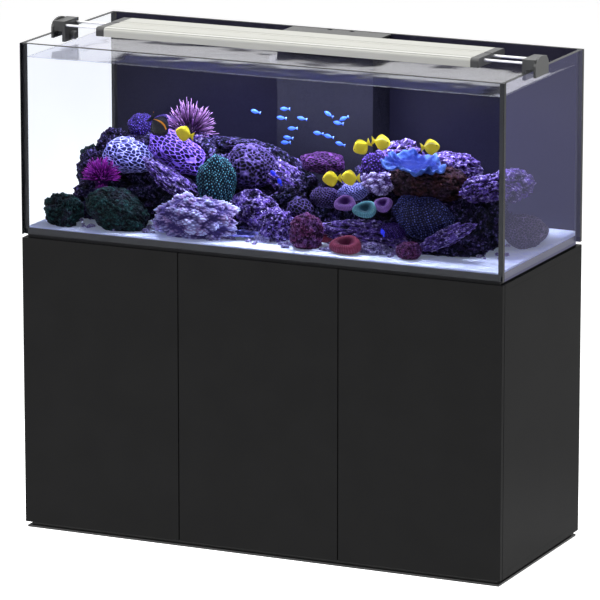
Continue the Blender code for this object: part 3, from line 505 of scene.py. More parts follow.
class Palette:
    """Every finish of the object, each made into a material once."""

    FINISHES = (
        PaintedFinish("satin_black_laminate", (0.0125, 0.0125, 0.0127), 0.28, index=1.05, variation=0.04,
                      grain_scale=1400.0, grain_depth=0.00002, dust=0.01),
        PaintedFinish("matt_black_base", (0.010, 0.010, 0.010), 0.60),
        PaintedFinish("black_foam", (0.006, 0.006, 0.006), 0.95, grain_scale=1800.0, grain_depth=0.0004,
                      dust=0.0),
        BrushedFinish("nickel_steel", (0.66, 0.66, 0.66), 0.26, 1.0, "Z"),
        BrushedFinish("bright_rod", (0.86, 0.87, 0.88), 0.30, 0.25, "X"),
        PaintedFinish("moulded_black", (0.022, 0.022, 0.023), 0.45, grain_scale=1200.0),
        PaintedFinish("lamp_black", (0.030, 0.031, 0.031), 0.42, grain_scale=1500.0, dust=0.08),
        PaintedFinish("black_silicone", (0.016, 0.016, 0.017), 0.38, grain_scale=500.0, dust=0.0),
        PaintedFinish("black_back_glass", (0.013, 0.012, 0.025), 0.30, specular=0.12, variation=0.06,
                      grain_depth=0.000002, dust=0.0),
        PaintedFinish("column_acrylic", (0.013, 0.0125, 0.020), 0.30, specular=0.15, variation=0.06,
                      grain_depth=0.000002, dust=0.0),
        PaintedFinish("lid_acrylic", (0.040, 0.041, 0.040), 0.40, grain_depth=0.00002),
        PaintedFinish("edge_glass", (0.010, 0.011, 0.012), 0.30, specular=0.12, grain_scale=300.0,
                      grain_depth=0.000002, dust=0.0),
        PaintedFinish("grey_pipe", (0.16, 0.17, 0.18), 0.35),
        PaintedFinish("skimmer_black", (0.030, 0.030, 0.033), 0.30, coat=0.2),
        BrushedFinish("off_white_extrusion", (0.50, 0.50, 0.455), 0.42, 0.0, "X"),
        # painted shadow lines for the lamp's seams and a painted highlight for its front lip
        BrushedFinish("lamp_seam_shadow", (0.20, 0.20, 0.17), 0.5, 0.0, "X"),
        BrushedFinish("lamp_lip_highlight", (0.80, 0.80, 0.76), 0.35, 0.0, "X"),
        ClearFinish("front_glass", (0.975, 0.985, 1.0), gain=0.12, floor=-0.006, sheen=(0.85, 0.85, 1.0)),
        # the right pane carries a painted reflection of a pale room on top of its real glossy one
        ClearFinish("side_glass", (0.985, 0.985, 1.0), gain=0.08, floor=-0.012,
                    sheen=(0.60, 0.60, 1.0), painted_reflection=0.36),
        ClearFinish("smoked_acrylic", (0.55, 0.60, 0.62), gain=1.2, dim=(0.7, 0.7, 0.7)),
        ClearFinish("water_face", (0.90, 0.90, 0.96), index=1.33, gain=0.9, floor=0.02, ripple_scale=5.0,
                    ripple_depth=0.0004, dim=(0.5, 0.5, 0.62), polish=0.09),
        SandFinish("coral_sand", (0.78, 0.86, 1.0), (0.42, 0.50, 0.85)),
        LitFinish("lit_lens", (0.55, 0.62, 1.0), (1.0, 1.0, 1.0), 1.5),
        # dark rock whose near-black tone is partly the rock's own colour and partly painted shade for the rock in
        # shadow between and behind the corals
        RockFinish("dark_rock_and_shade", (0.002, 0.002, 0.004), (0.018, 0.010, 0.046), (0.008, 0.011, 0.022),
                   (0.40, 0.32, 0.85), 0.55),
        RockFinish("green_rock", (0.002, 0.003, 0.004), (0.010, 0.028, 0.028), (0.024, 0.022, 0.038),
                   (0.06, 0.26, 0.22), 0.45),
        RockFinish("brown_rock", (0.003, 0.002, 0.003), (0.060, 0.022, 0.020), (0.030, 0.016, 0.026),
                   (0.22, 0.12, 0.28), 0.35),
        RockFinish("lavender_rock", (0.005, 0.003, 0.014), (0.15, 0.085, 0.40), (0.055, 0.028, 0.16),
                   (0.72, 0.62, 1.0), 0.9, 0.08),
        RockFinish("pale_rubble", (0.04, 0.03, 0.09), (0.36, 0.33, 0.62), (0.24, 0.18, 0.40),
                   (0.80, 0.82, 1.0), 0.8, 0.08),
        RockFinish("rose_rock", (0.012, 0.003, 0.012), (0.14, 0.030, 0.10), (0.10, 0.035, 0.14),
                   (0.45, 0.28, 0.58), 0.5, 0.08),
        CoralFinish("violet_coral", (0.008, 0.003, 0.036), (0.13, 0.05, 0.46), (0.30, 0.18, 0.80)),
        CoralFinish("lavender_coral", (0.010, 0.010, 0.065), (0.22, 0.22, 0.72), (0.52, 0.52, 0.98)),
        CoralFinish("indigo_coral", (0.008, 0.004, 0.040), (0.11, 0.06, 0.42), (0.26, 0.18, 0.74)),
        CoralFinish("teal_coral", (0.002, 0.008, 0.016), (0.05, 0.24, 0.30), (0.32, 0.74, 0.80)),
        CoralFinish("dusk_maze", (0.002, 0.001, 0.006), (0.040, 0.026, 0.105), (0.13, 0.09, 0.27), 0.04),
        CoralFinish("midnight_dome", (0.003, 0.003, 0.018), (0.05, 0.06, 0.26), (0.28, 0.34, 0.85)),
        CoralFinish("maroon_coral", (0.004, 0.001, 0.008), (0.050, 0.012, 0.080), (0.14, 0.05, 0.20), 0.05),
        CoralFinish("mauve_coral", (0.002, 0.001, 0.003), (0.045, 0.028, 0.058), (0.16, 0.115, 0.21), 0.0),
        CoralFinish("magenta_tentacle", (0.024, 0.002, 0.050), (0.18, 0.008, 0.23), (0.40, 0.04, 0.42)),
        CoralFinish("pink_branch", (0.014, 0.004, 0.022), (0.09, 0.020, 0.11), (0.52, 0.30, 0.58), 0.06),
        CoralFinish("frosted_frill", (0.05, 0.035, 0.14), (0.26, 0.25, 0.52), (0.56, 0.62, 0.88),
                    patch=(0.30, 0.15, 0.34)),
        CoralFinish("blue_plate", (0.006, 0.016, 0.14), (0.05, 0.12, 0.44), (0.22, 0.36, 0.78), 0.16),
        CoralFinish("red_ring", (0.05, 0.004, 0.020), (0.22, 0.030, 0.065), (0.42, 0.14, 0.20)),
        CoralFinish("purple_ring", (0.03, 0.006, 0.07), (0.20, 0.08, 0.34), (0.56, 0.38, 0.72)),
        CoralFinish("sea_green_disc", (0.01, 0.04, 0.06), (0.07, 0.24, 0.28), (0.34, 0.64, 0.64)),
        CoralFinish("cup_coral", (0.06, 0.03, 0.13), (0.32, 0.26, 0.54), (0.66, 0.62, 0.92)),
        FishFinish("yellow_skin", (0.80, 0.66, 0.03), (0.92, 0.84, 0.30), 0.14),
        FishFinish("blue_skin", (0.05, 0.13, 0.70), (0.25, 0.42, 0.95), 0.5),
        FishFinish("royal_skin", (0.02, 0.03, 0.60), (0.10, 0.12, 0.95), 0.5),
        FishFinish("black_skin", (0.006, 0.006, 0.014), (0.75, 0.28, 0.02)),
        PaintedFinish("fish_eye", (0.004, 0.004, 0.005), 0.10, coat=1.0, dust=0.0),
    )

    def __init__(self) -> None:
        """Keep the finishes by name and build nothing yet."""
        self._finishes = {finish.name: finish for finish in self.FINISHES}
        self._made: dict[str, bpy.types.Material] = {}

    def get(self, name: str) -> bpy.types.Material:
        """Return the material of a finish, building it the first time."""
        if name not in self._made:
            self._made[name] = self._finishes[name].material()
        return self._made[name]


PALETTE = Palette()


# ---------------------------------------------------------------- pieces

def link(name: str, data: bpy.types.ID) -> bpy.types.Object:
    """Put a new object with this data in the scene."""
    made = bpy.data.objects.new(name, data)
    bpy.context.scene.collection.objects.link(made)
    return made


def finish_piece(shape: bmesh.types.BMesh, name: str, finish: str, body: str = "root",
                 stands_for: Iterable[str] = (), smooth: bool = True) -> bpy.types.Object:
    """Turn a bmesh into a finished piece that rides on a body.

    Args:
        shape: the bmesh, in the frame's own place; it is freed.
        name: the piece's name.
        finish: the name of its finish.
        body: the body that it moves with.
        stands_for: CAD nodes that it replaces.
        smooth: whether its faces are shaded smooth.

    Returns:
        The new object.
    """
    mesh = bpy.data.meshes.new(name)
    shape.normal_update()
    shape.to_mesh(mesh)
    shape.free()
    piece = link(name, mesh)
    mesh.materials.append(PALETTE.get(finish))
    if smooth:
        mesh.shade_smooth()
    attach(piece, body)
    if stands_for:
        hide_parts(*stands_for)
    return piece


def add_block(shape: bmesh.types.BMesh, low: Vector, high: Vector, edge: float = 0.0,
              segments: int = 2) -> list[bmesh.types.BMVert]:
    """Add a block with rounded edges to a bmesh.

    Args:
        shape: the bmesh to add to.
        low: the block's lowest corner.
        high: the block's highest corner.
        edge: the radius of its edges.
        segments: faces round each edge.

    Returns:
        The block's first vertices, before its edges are rounded.
    """
    low, high = Vector(low), Vector(high)
    matrix = Matrix.Translation((low + high) / 2) @ Matrix.Diagonal((*(high - low), 1.0))
    made = bmesh.ops.create_cube(shape, size=1.0, matrix=matrix)["verts"]
    if edge:
        edges = list({e for v in made for e in v.link_edges})
        bmesh.ops.bevel(shape, geom=edges, offset=edge, affect="EDGES", segments=segments, profile=0.5,
                        material=-1, clamp_overlap=True)
    return made


def verts_of(made: Iterable) -> list[bmesh.types.BMVert]:
    """The vertices in what a bmesh operator made."""
    return [item for item in made if isinstance(item, bmesh.types.BMVert)]


def edges_of(made: Iterable) -> list[bmesh.types.BMEdge]:
    """The edges in what a bmesh operator made."""
    return [item for item in made if isinstance(item, bmesh.types.BMEdge)]


def unit(value: float) -> float:
    """Clamp a value to 0 to 1."""
    return min(1.0, max(0.0, value))


def dress(finish: str, *nodes: str) -> None:
    """Give CAD nodes a finish."""
    for node in nodes:
        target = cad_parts[node]
        target.data.materials.clear()
        target.data.materials.append(PALETTE.get(finish))


def mark_growth(piece: bpy.types.Object, values: list[float]) -> None:
    """Store how far each vertex has grown out, 0 to 1, for the coral and rock finishes."""
    attribute = piece.data.attributes.new("growth", "FLOAT", "POINT")
    attribute.data.foreach_set("value", values)


@dataclass
class Room:
    """The places that everything in the tank is set out from."""

    floor: float = field(init=False)
    sand: float = field(init=False)
    rim: float = field(init=False)
    low: Vector = field(init=False)
    high: Vector = field(init=False)

    def __post_init__(self) -> None:
        """Read the tank's panes from the frame and set the sand's level above the bottom glass."""
        front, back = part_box("tank_front_glass"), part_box("tank_back_glass")
        left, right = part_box("tank_left_glass"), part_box("tank_right_glass")
        self.rim = front[1].z
        self.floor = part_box("tank_bottom_glass")[1].z
        self.sand = self.floor + SAND_LEVEL
        self.low = Vector((left[1].x, front[1].y, self.floor))
        self.high = Vector((right[0].x, back[0].y, self.rim))

    def hold(self, vert: bmesh.types.BMVert) -> None:
        """Keep a point off the tank's walls."""
        vert.co.x = min(max(vert.co.x, self.low.x + WALL_MARGIN), self.high.x - WALL_MARGIN)
        vert.co.y = min(max(vert.co.y, self.low.y + WALL_MARGIN), self.high.y - WALL_MARGIN)


# ---------------------------------------------------------------- cabinet

class Cabinet:
    """The black cabinet, its doors and their fittings, and the equipment in it."""

    def build(self) -> None:
        """Dress the CAD nodes."""
        dress("satin_black_laminate", "door_left", "door_middle", "door_right", "side_panel_left",
              "side_panel_right", "divider_panel", "front_post", "back_panel", "top_panel", "bottom_panel")
        dress("matt_black_base", "floor_plate", "plinth_frame")
        dress("black_foam", "support_mat")
        dress("nickel_steel", *[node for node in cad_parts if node.startswith("hinge_")])
        dress("moulded_black", *[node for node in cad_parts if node.startswith("latch_")])
        dress("grey_pipe", "drain_pipe", "return_pipe", "return_bulkhead")
        dress("moulded_black", "drain_valve_lever", "return_pump")
        dress("skimmer_black", "protein_skimmer")
        dress("smoked_acrylic", "sump_tank")


# ---------------------------------------------------------------- tank

@dataclass
class Tank:
    """The glass tank: panes, polished edges, silicone and the overflow column."""

    edge_skin: float = 0.0012
    edge_round: float = 0.0006
    edge_proud: float = 0.0002

    def build(self) -> None:
        """Dress the panes and add their polished edges."""
        dress("front_glass", "tank_front_glass", "tank_left_glass")
        dress("side_glass", "tank_right_glass")
        dress("black_back_glass", "tank_back_glass", "tank_bottom_glass")
        dress("black_silicone", "tank_seams")
        dress("column_acrylic", "overflow_front_panel", "overflow_left_panel", "overflow_right_panel")
        dress("lid_acrylic", "overflow_lid")
        for side in ("front", "back", "left", "right"):
            self.edges(side)

    def edges(self, side: str) -> None:
        """Cap a pane's polished edges, along its top and up its ends, with their dark tone."""
        low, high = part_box("tank_" + side + "_glass")
        skin, proud = self.edge_skin, self.edge_proud
        shape = bmesh.new()
        top = (Vector((low.x, low.y, high.z - skin)), Vector((high.x, high.y, high.z + proud)))
        add_block(shape, *top, edge=self.edge_round)
        if side in ("front", "back"):
            for x, outward in ((low.x, -1), (high.x, 1)):
                inner, outer = sorted((x - outward * skin, x + outward * proud))
                add_block(shape, Vector((inner, low.y, low.z)), Vector((outer, high.y, high.z - skin)),
                          edge=self.edge_round)
        else:
            add_block(shape, Vector((low.x, low.y - proud, low.z)), Vector((high.x, low.y + skin, high.z - skin)),
                      edge=self.edge_round)
        finish_piece(shape, side + "_pane_edges", "edge_glass", smooth=False)


@dataclass
class Water:
    """The water's surface, with a slow ripple, 40 mm below the rim."""

    room: Room
    below_rim: float = 0.040
    ripple: float = 0.0008
    thickness: float = 0.0015
    gap: float = 0.0008
    grid: tuple[int, int] = (150, 56)

    def build(self) -> None:
        """Build the rippled surface as a thin slab."""
        low, high = self.room.low, self.room.high
        size = Vector((high.x - low.x - 2 * self.gap, high.y - low.y - 2 * self.gap, 1.0))
        middle = Vector(((low.x + high.x) / 2, (low.y + high.y) / 2, self.room.rim - self.below_rim))
        shape = bmesh.new()
        bmesh.ops.create_grid(shape, x_segments=self.grid[0], y_segments=self.grid[1], size=0.5,
                              matrix=Matrix.Translation(middle) @ Matrix.Diagonal((size.x, size.y, 1, 1)))
        made = bmesh.ops.extrude_face_region(shape, geom=list(shape.faces))["geom"]
        bmesh.ops.translate(shape, verts=verts_of(made), vec=(0, 0, -self.thickness))
        for vert in shape.verts:
            vert.co.z += self.height(vert.co.x, vert.co.y)
        bmesh.ops.recalc_face_normals(shape, faces=list(shape.faces))
        finish_piece(shape, "water_surface", "water_face")

    def height(self, x: float, y: float) -> float:
        """The ripple's height at a place."""
        long_wave = math.sin(x * 9.0 + 1.3 * math.sin(y * 6.0)) * 0.6
        return self.ripple * (long_wave + noise.noise(Vector((x * 14.0, y * 20.0, 0.5))))


@dataclass
class SandBed:
    """The sand: level at the front, heaped a little towards the back."""

    room: Room
    rise: float = 0.016
    gap: float = 0.0015
    foot_gap: float = 0.0004
    grid: tuple[int, int] = (200, 76)

    def build(self) -> None:
        """Build the sand as one closed body that stands for its CAD solid."""
        low, high = self.room.low, self.room.high
        shape = bmesh.new()
        bottom = self.room.floor + self.foot_gap
        block_low = Vector((low.x + self.gap, low.y + self.gap, bottom))
        block_high = Vector((high.x - self.gap, high.y - self.gap, self.room.sand))
        middle = (block_low + block_high) / 2
        matrix = Matrix.Translation((middle.x, middle.y, bottom))
        scale = Matrix.Diagonal((block_high.x - block_low.x, block_high.y - block_low.y, 1, 1))
        bmesh.ops.create_grid(shape, x_segments=self.grid[0], y_segments=self.grid[1], size=0.5,
                              matrix=matrix @ scale)
        made = bmesh.ops.extrude_face_region(shape, geom=list(shape.faces))["geom"]
        for vert in verts_of(made):
            vert.co.z = self.height(vert.co.x, vert.co.y)
        bmesh.ops.recalc_face_normals(shape, faces=list(shape.faces))
        finish_piece(shape, "sand_surface", "coral_sand", stands_for=("sand_bed",))

    def height(self, x: float, y: float) -> float:
        """The sand's height at a place."""
        back = (y - self.room.low.y) / (self.room.high.y - self.room.low.y)
        dunes = noise.noise(Vector((x * 5.0, y * 7.0, 3.0))) * 0.004
        fine = noise.noise(Vector((x * 60.0, y * 60.0, 1.0))) * 0.0012
        level = self.room.sand + self.rise * max(0.0, back - 0.35) ** 1.3
        return level + dunes * min(1.0, back * 3.0) + fine


# ---------------------------------------------------------------- reef

@dataclass
class Growth:
    """A rock or coral: a round cage that is pushed out by its own pattern."""

    name: str
    place: tuple[float, float, float]
    size: tuple[float, float, float]
    finish: str
    seed: float = 0.0
    turn: tuple[float, float, float] = (0.0, 0.0, 0.0)
    detail: int = 6
    stands_for: tuple[str, ...] = ()

    def push(self, direction: Vector) -> tuple[float, float]:
        """How far the surface goes out in a direction, and its growth from 0 to 1."""
        return 1.0, 0.5

    def build(self, room: Room) -> bpy.types.Object:
        """Build the piece in its place above the sand.

        Args:
            room: the tank's inside.

        Returns:
            The finished piece.
        """
        shape = bmesh.new()
        bmesh.ops.create_icosphere(shape, subdivisions=self.detail, radius=1.0)
        grown = []
        stretch = Matrix.Diagonal(self.size)
        for vert in shape.verts:
            direction = vert.co.normalized()
            reach, growth = self.push(direction)
            vert.co = stretch @ (direction * reach)
            grown.append(growth)
        self.settle(shape, room)
        return self.finished(shape, grown)

    def finished(self, shape: bmesh.types.BMesh, grown: list[float]) -> bpy.types.Object:
        """Turn the shape into its finished piece, with its growth values stored."""
        piece = finish_piece(shape, self.name, self.finish, stands_for=self.stands_for)
        mark_growth(piece, grown)
        return piece

    def swell(self, direction: Vector, scale: float, row: float) -> float:
        """A broad soft swell of the whole shape."""
        return noise.fractal(direction * scale + Vector((self.seed, row, 0.0)), 0.9, 2.0, 3)

    def settle(self, shape: bmesh.types.BMesh, room: Room) -> None:
        """Turn the shape, put it in place and keep it inside the tank and out of the floor."""
        turn = Euler([math.radians(angle) for angle in self.turn]).to_matrix().to_4x4()
        middle = Vector((self.place[0], self.place[1], room.sand + self.place[2]))
        bmesh.ops.transform(shape, matrix=Matrix.Translation(middle) @ turn, verts=list(shape.verts))
        for vert in shape.verts:
            room.hold(vert)
            vert.co.z = max(vert.co.z, room.floor + WALL_MARGIN / 2)

    def cell(self, point: Vector, scale: float) -> float:
        """Distance to the nearest cell centre, about 0 to 1."""
        return noise.voronoi(point * scale + Vector((self.seed, 0.0, 0.0)))[0][0]


@dataclass
class Rock(Growth):
    """A craggy lump of reef rock."""

    rough: float = 0.42
    crag_scale: float = 3.6

    def push(self, direction: Vector) -> tuple[float, float]:
        """Broad swells, lumps, crags and pits."""
        at = direction + Vector((self.seed, self.seed * 0.7, 0.0))
        swell = noise.fractal(at * 1.3, 0.9, 2.1, 3)
        lump = 0.5 - self.cell(direction, 2.7)
        crag = noise.ridged_multi_fractal(at * self.crag_scale, 0.8, 2.3, 5, 0.9, 2.0) - 1.1
        pit = self.cell(direction, 7.5) - 0.4
        fine = noise.noise(at * 21.0)
        reach = 1.0 + self.rough * (0.55 * swell + 0.55 * lump + 0.22 * crag) + 0.10 * pit + 0.03 * fine
        growth = 0.5 + 0.35 * crag + 0.5 * lump + 0.7 * pit + 0.4 * fine
        return reach, unit(growth)


class PolypMap:
    """Even spots over a ball, a little shaken, to set polyps and cells out on."""

    SPIRAL_STEP = 2.39996323

    def __init__(self, count: int, seed: float, shake: float = 0.25) -> None:
        """Set the spots out on a spiral.

        Args:
            count: how many spots.
            seed: starts the random shake.
            shake: how far each spot may move, as a share of the spacing.
        """
        rng = random.Random(int(seed * 1000))
        self.spacing = math.sqrt(4 * math.pi / count)
        self._tree = kdtree.KDTree(count)
        for index in range(count):
            height = 1 - 2 * (index + 0.5) / count
            turn = index * self.SPIRAL_STEP
            ring = math.sqrt(1 - height * height)
            spot = Vector((ring * math.cos(turn), ring * math.sin(turn), height))
            spot += Vector([rng.uniform(-1, 1) for _ in range(3)]) * self.spacing * shake
            self._tree.insert(spot.normalized(), index)
        self._tree.balance()

    def near(self, direction: Vector) -> tuple[float, float, int]:
        """Distances to the nearest two spots in units of the spacing, and the nearest one's number."""
        first, second = self._tree.find_n(direction, 2)
        return first[2] / self.spacing, second[2] / self.spacing, first[1]


def ease(value: float) -> float:
    """Clamp a value to 0 to 1 and ease both ends."""
    value = unit(value)
    return value * value * (3 - 2 * value)


@dataclass
class CellCoral(Growth):
    """Brain or honeycomb coral: raised walls round sunken cells."""

    cells_round: int = 420
    wall: float = 0.42
    depth: float = 0.045
    lumps: float = 0.16
    shake: float = 0.25

    def __post_init__(self) -> None:
        """Set the cells out."""
        self.polyps = PolypMap(self.cells_round, self.seed, self.shake)

    def push(self, direction: Vector) -> tuple[float, float]:
        """Walls stand where two cells meet."""
        first, second, _ = self.polyps.near(direction)
        ridge = ease(1.0 - (second - first) / self.wall)
        swell = self.swell(direction, 1.4, 1.0)
        return 1.0 + self.lumps * swell + self.depth * ridge, ridge


@dataclass
class DotCoral(Growth):
    """Coral with rows of small raised polyps."""

    dots: int = 700
    depth: float = 0.045
    lumps: float = 0.16
    shake: float = 0.22

    def __post_init__(self) -> None:
        """Set the polyps out."""
        self.polyps = PolypMap(self.dots, self.seed, self.shake)

    def push(self, direction: Vector) -> tuple[float, float]:
        """A small knob stands at each spot."""
        first, _, number = self.polyps.near(direction)
        knob = ease(1.0 - first / 0.50) * (0.6 + 0.4 * ((number * 7) % 5) / 4)
        swell = self.swell(direction, 1.6, 2.0)
        return 1.0 + self.lumps * swell + self.depth * knob, knob


@dataclass
class FrillCoral(Growth):
    """Soft coral in crowded frilly tufts."""

    tufts: int = 90
    frills: int = 1300

    def __post_init__(self) -> None:
        """Set the tufts and the frills out."""
        self.tuft_map = PolypMap(self.tufts, self.seed, 0.4)
        self.frill_map = PolypMap(self.frills, self.seed + 1, 0.4)

    def push(self, direction: Vector) -> tuple[float, float]:
        """Round tufts, each broken up by fine frills."""
        first, _, number = self.tuft_map.near(direction)
        near, _, _ = self.frill_map.near(direction)
        tall = 0.7 + 0.5 * ((number * 13) % 7) / 6
        tuft, frill = ease(1.0 - first * 1.1) * tall, ease(1.0 - near * 1.5)
        swell = self.swell(direction, 1.5, 0.0)
        reach = 0.92 + 0.16 * swell + 0.20 * tuft + 0.07 * frill * (0.4 + tuft)
        return reach, min(1.0, 0.55 * tuft + 0.55 * frill * (0.35 + tuft))


@dataclass
class PlateCoral(Growth):
    """A thin plate with a wavy, turned-up rim."""

    waves: int = 7
    curl: float = 0.35
    thickness: float = 0.005
    rings: int = 26
    around: int = 128
    hub: float = 0.04

    def build(self, room: Room) -> bpy.types.Object:
        """Build the plate from a disc of rings.

        Args:
            room: the tank's inside.

        Returns:
            The finished piece.
        """
        shape = bmesh.new()
        bmesh.ops.create_circle(shape, segments=self.around, radius=self.hub, cap_ends=True)
        rim = [edge for edge in shape.edges if edge.is_boundary]
        for ring in range(1, self.rings + 1):
            made = bmesh.ops.extrude_edge_only(shape, edges=rim)["geom"]
            rim = edges_of(made)
            before = self.hub + 0.96 * (ring - 1) / self.rings
            grow = (self.hub + 0.96 * ring / self.rings) / before
            bmesh.ops.scale(shape, vec=(grow, grow, 1.0), verts=verts_of(made))
        for vert in shape.verts:
            self.bend(vert)
        bmesh.ops.recalc_face_normals(shape, faces=list(shape.faces))
        bmesh.ops.solidify(shape, geom=list(shape.faces), thickness=self.thickness)
        grown = [min(1.0, (vert.co.x / self.size[0]) ** 2 + (vert.co.y / self.size[1]) ** 2) ** 1.5
                 * 0.7 + 0.3 * noise.noise(vert.co * 90) for vert in shape.verts]
        self.settle(shape, room)
        bmesh.ops.recalc_face_normals(shape, faces=list(shape.faces))
        return self.finished(shape, [max(0.0, value) for value in grown])

    def bend(self, vert: bmesh.types.BMVert) -> None:
        """Curl one point of the flat disc up and into waves."""
        out = math.hypot(vert.co.x, vert.co.y)
        angle = math.atan2(vert.co.y, vert.co.x)
        wave = math.sin(angle * self.waves + self.seed) + 0.6 * math.sin(angle * round(2.4 * self.waves) + 1.0)
        ripple = noise.noise(Vector((vert.co.x * 5, vert.co.y * 5, self.seed)))
        edge = 1.0 + 0.09 * math.sin(angle * 5 + self.seed * 2) * out
        height = self.curl * out * out + 0.10 * wave * out ** 3 + 0.30 * ripple * out
        vert.co = Vector((vert.co.x * edge * self.size[0], vert.co.y * edge * self.size[1],
                          height * self.size[2]))


@dataclass
class RingCoral(Growth):
    """A fleshy ring of coral with radial folds and a sunken mouth."""

    folds: int = 38
    steps: int = 96

    OUTLINE = ((0.0, 0.10), (0.14, 0.12), (0.26, 0.32), (0.42, 0.72), (0.60, 0.95), (0.78, 0.92),
               (0.93, 0.62), (1.0, 0.22), (0.96, -0.15), (0.80, -0.35), (0.45, -0.42), (0.0, -0.42))

    def build(self, room: Room) -> bpy.types.Object:
        """Spin a rounded profile and fold it.

        Args:
            room: the tank's inside.

        Returns:
            The finished piece.
        """
        shape = bmesh.new()
        verts = [shape.verts.new((radius, 0.0, height)) for radius, height in self.OUTLINE]
        edges = [shape.edges.new(pair) for pair in zip(verts, verts[1:])]
        bmesh.ops.spin(shape, geom=verts + edges, angle=2 * math.pi, steps=self.steps, axis=(0, 0, 1),
                       cent=(0, 0, 0), use_merge=True)
        bmesh.ops.remove_doubles(shape, verts=list(shape.verts), dist=0.0001)
        bmesh.ops.subdivide_edges(shape, edges=list(shape.edges), cuts=1, use_grid_fill=True, smooth=0.6)
        grown = []
        for vert in shape.verts:
            out = math.hypot(vert.co.x, vert.co.y)
            angle = math.atan2(vert.co.y, vert.co.x)
            fold = 0.5 + 0.5 * math.sin(angle * self.folds + 1.5 * noise.noise(Vector((angle, out, self.seed))))
            wobble = 1.0 + 0.08 * math.sin(angle * 3 + self.seed)
            lift = 1.0 + 0.07 * fold * out
            vert.co = Vector((vert.co.x * wobble * self.size[0], vert.co.y * wobble * self.size[1],
                              vert.co.z * lift * self.size[2]))
            grown.append(unit(0.20 + 0.28 * fold * out + 0.55 * (out - 0.3)))
        bmesh.ops.recalc_face_normals(shape, faces=list(shape.faces))
        self.settle(shape, room)
        return self.finished(shape, grown)


@dataclass
class TentacleCoral(Growth):
    """A head of tapered branches or tentacles that fan out of a knob."""

    count: int = 150
    thickness: float = 0.0022
    spread: float = 1.25
    bend: float = 0.35
    sides: int = 6
    joints: int = 6
    knob: float = 0.35
    spiral_step: float = 2.39996

    def build(self, room: Room) -> bpy.types.Object:
        """Grow every branch from the knob.

        Args:
            room: the tank's inside.

        Returns:
            The finished piece.
        """
        rng = random.Random(int(self.seed * 100))
        shape = bmesh.new()
        bmesh.ops.create_icosphere(shape, subdivisions=3, radius=1.0,
                                   matrix=Matrix.Diagonal([part * self.knob for part in self.size] + [1.0]))
        grown = [0.15] * len(shape.verts)
        for index in range(self.count):
            turn = index * self.spiral_step + rng.uniform(-0.2, 0.2)
            lean = self.spread * math.sqrt((index + 0.5) / self.count)
            direction = Vector((math.sin(lean) * math.cos(turn), math.sin(lean) * math.sin(turn), math.cos(lean)))
            grown += self.branch(shape, direction, rng)
        self.settle(shape, room)
        return self.finished(shape, grown)

    def branch(self, shape: bmesh.types.BMesh, direction: Vector, rng: random.Random) -> list[float]:
        """Extrude one tapered branch.

        Args:
            shape: the bmesh to add to.
            direction: where it points at its foot.
            rng: the piece's own random numbers.

        Returns:
            The growth of each new vertex.
        """
        length = rng.uniform(0.75, 1.08)
        side = Vector((rng.uniform(-1, 1), rng.uniform(-1, 1), rng.uniform(-0.3, 0.5))) * self.bend
        foot = Vector([a * b * self.knob * 0.8 for a, b in zip(direction, self.size)])
        start = Matrix.Translation(foot) @ direction.to_track_quat("Z", "Y").to_matrix().to_4x4()
        ring = bmesh.ops.create_circle(shape, segments=self.sides, radius=self.thickness, cap_ends=True,
                                       matrix=start)["verts"]
        grown = [0.1] * len(ring)
        edges = list({e for v in ring for e in v.link_edges})
        middle, way = foot, direction
        for joint in range(1, self.joints + 1):
            share = joint / self.joints
            made = bmesh.ops.extrude_edge_only(shape, edges=edges)["geom"]
            ring, edges = verts_of(made), edges_of(made)
            way = (way + side * (share / self.joints) * 2).normalized()
            reach = Vector([a * b for a, b in zip(way, self.size)]) * (length * (1 - self.knob * 0.8) / self.joints)
            bmesh.ops.translate(shape, verts=ring, vec=reach)
            middle = middle + reach
            taper = 0.86 if joint < self.joints else 0.45
            bmesh.ops.scale(shape, vec=(taper, taper, taper), verts=ring,
                            space=Matrix.Translation(-middle))
            grown += [share] * len(ring)
        bmesh.ops.contextual_create(shape, geom=edges)
        return grown


@dataclass
class Rubble(Growth):
    """Broken bits of rock strewn over the sand: the size is their spread and their middle radius."""

    stones: int = 30

    def build(self, room: Room) -> bpy.types.Object:
        """Strew the stones and join them in one piece.

        Args:
            room: the tank's inside.

        Returns:
            The finished piece.
        """
        rng = random.Random(int(self.seed * 100))
        shape = bmesh.new()
        grown = []
        for _ in range(self.stones):
            radius = self.size[2] * rng.uniform(0.5, 1.7)
            spot = Vector((self.place[0] + self.size[0] * rng.uniform(-1, 1),
                           self.place[1] + self.size[1] * rng.uniform(-1, 1), room.sand + radius * 0.25))
            squash = Vector((rng.uniform(0.8, 1.4), rng.uniform(0.8, 1.3), rng.uniform(0.6, 0.9))) * radius
            made = bmesh.ops.create_icosphere(shape, subdivisions=4, radius=1.0)["verts"]
            offset = Vector([rng.uniform(-20, 20) for _ in range(3)])
            for vert in made:
                crag = noise.fractal(vert.co * 1.8 + offset, 0.8, 2.2, 4)
                grown.append(unit(0.6 + 0.6 * crag))
                vert.co = spot + Vector([a * b for a, b in zip(vert.co * (1 + 0.4 * crag), squash)])
        for vert in shape.verts:
            room.hold(vert)
        return self.finished(shape, grown)


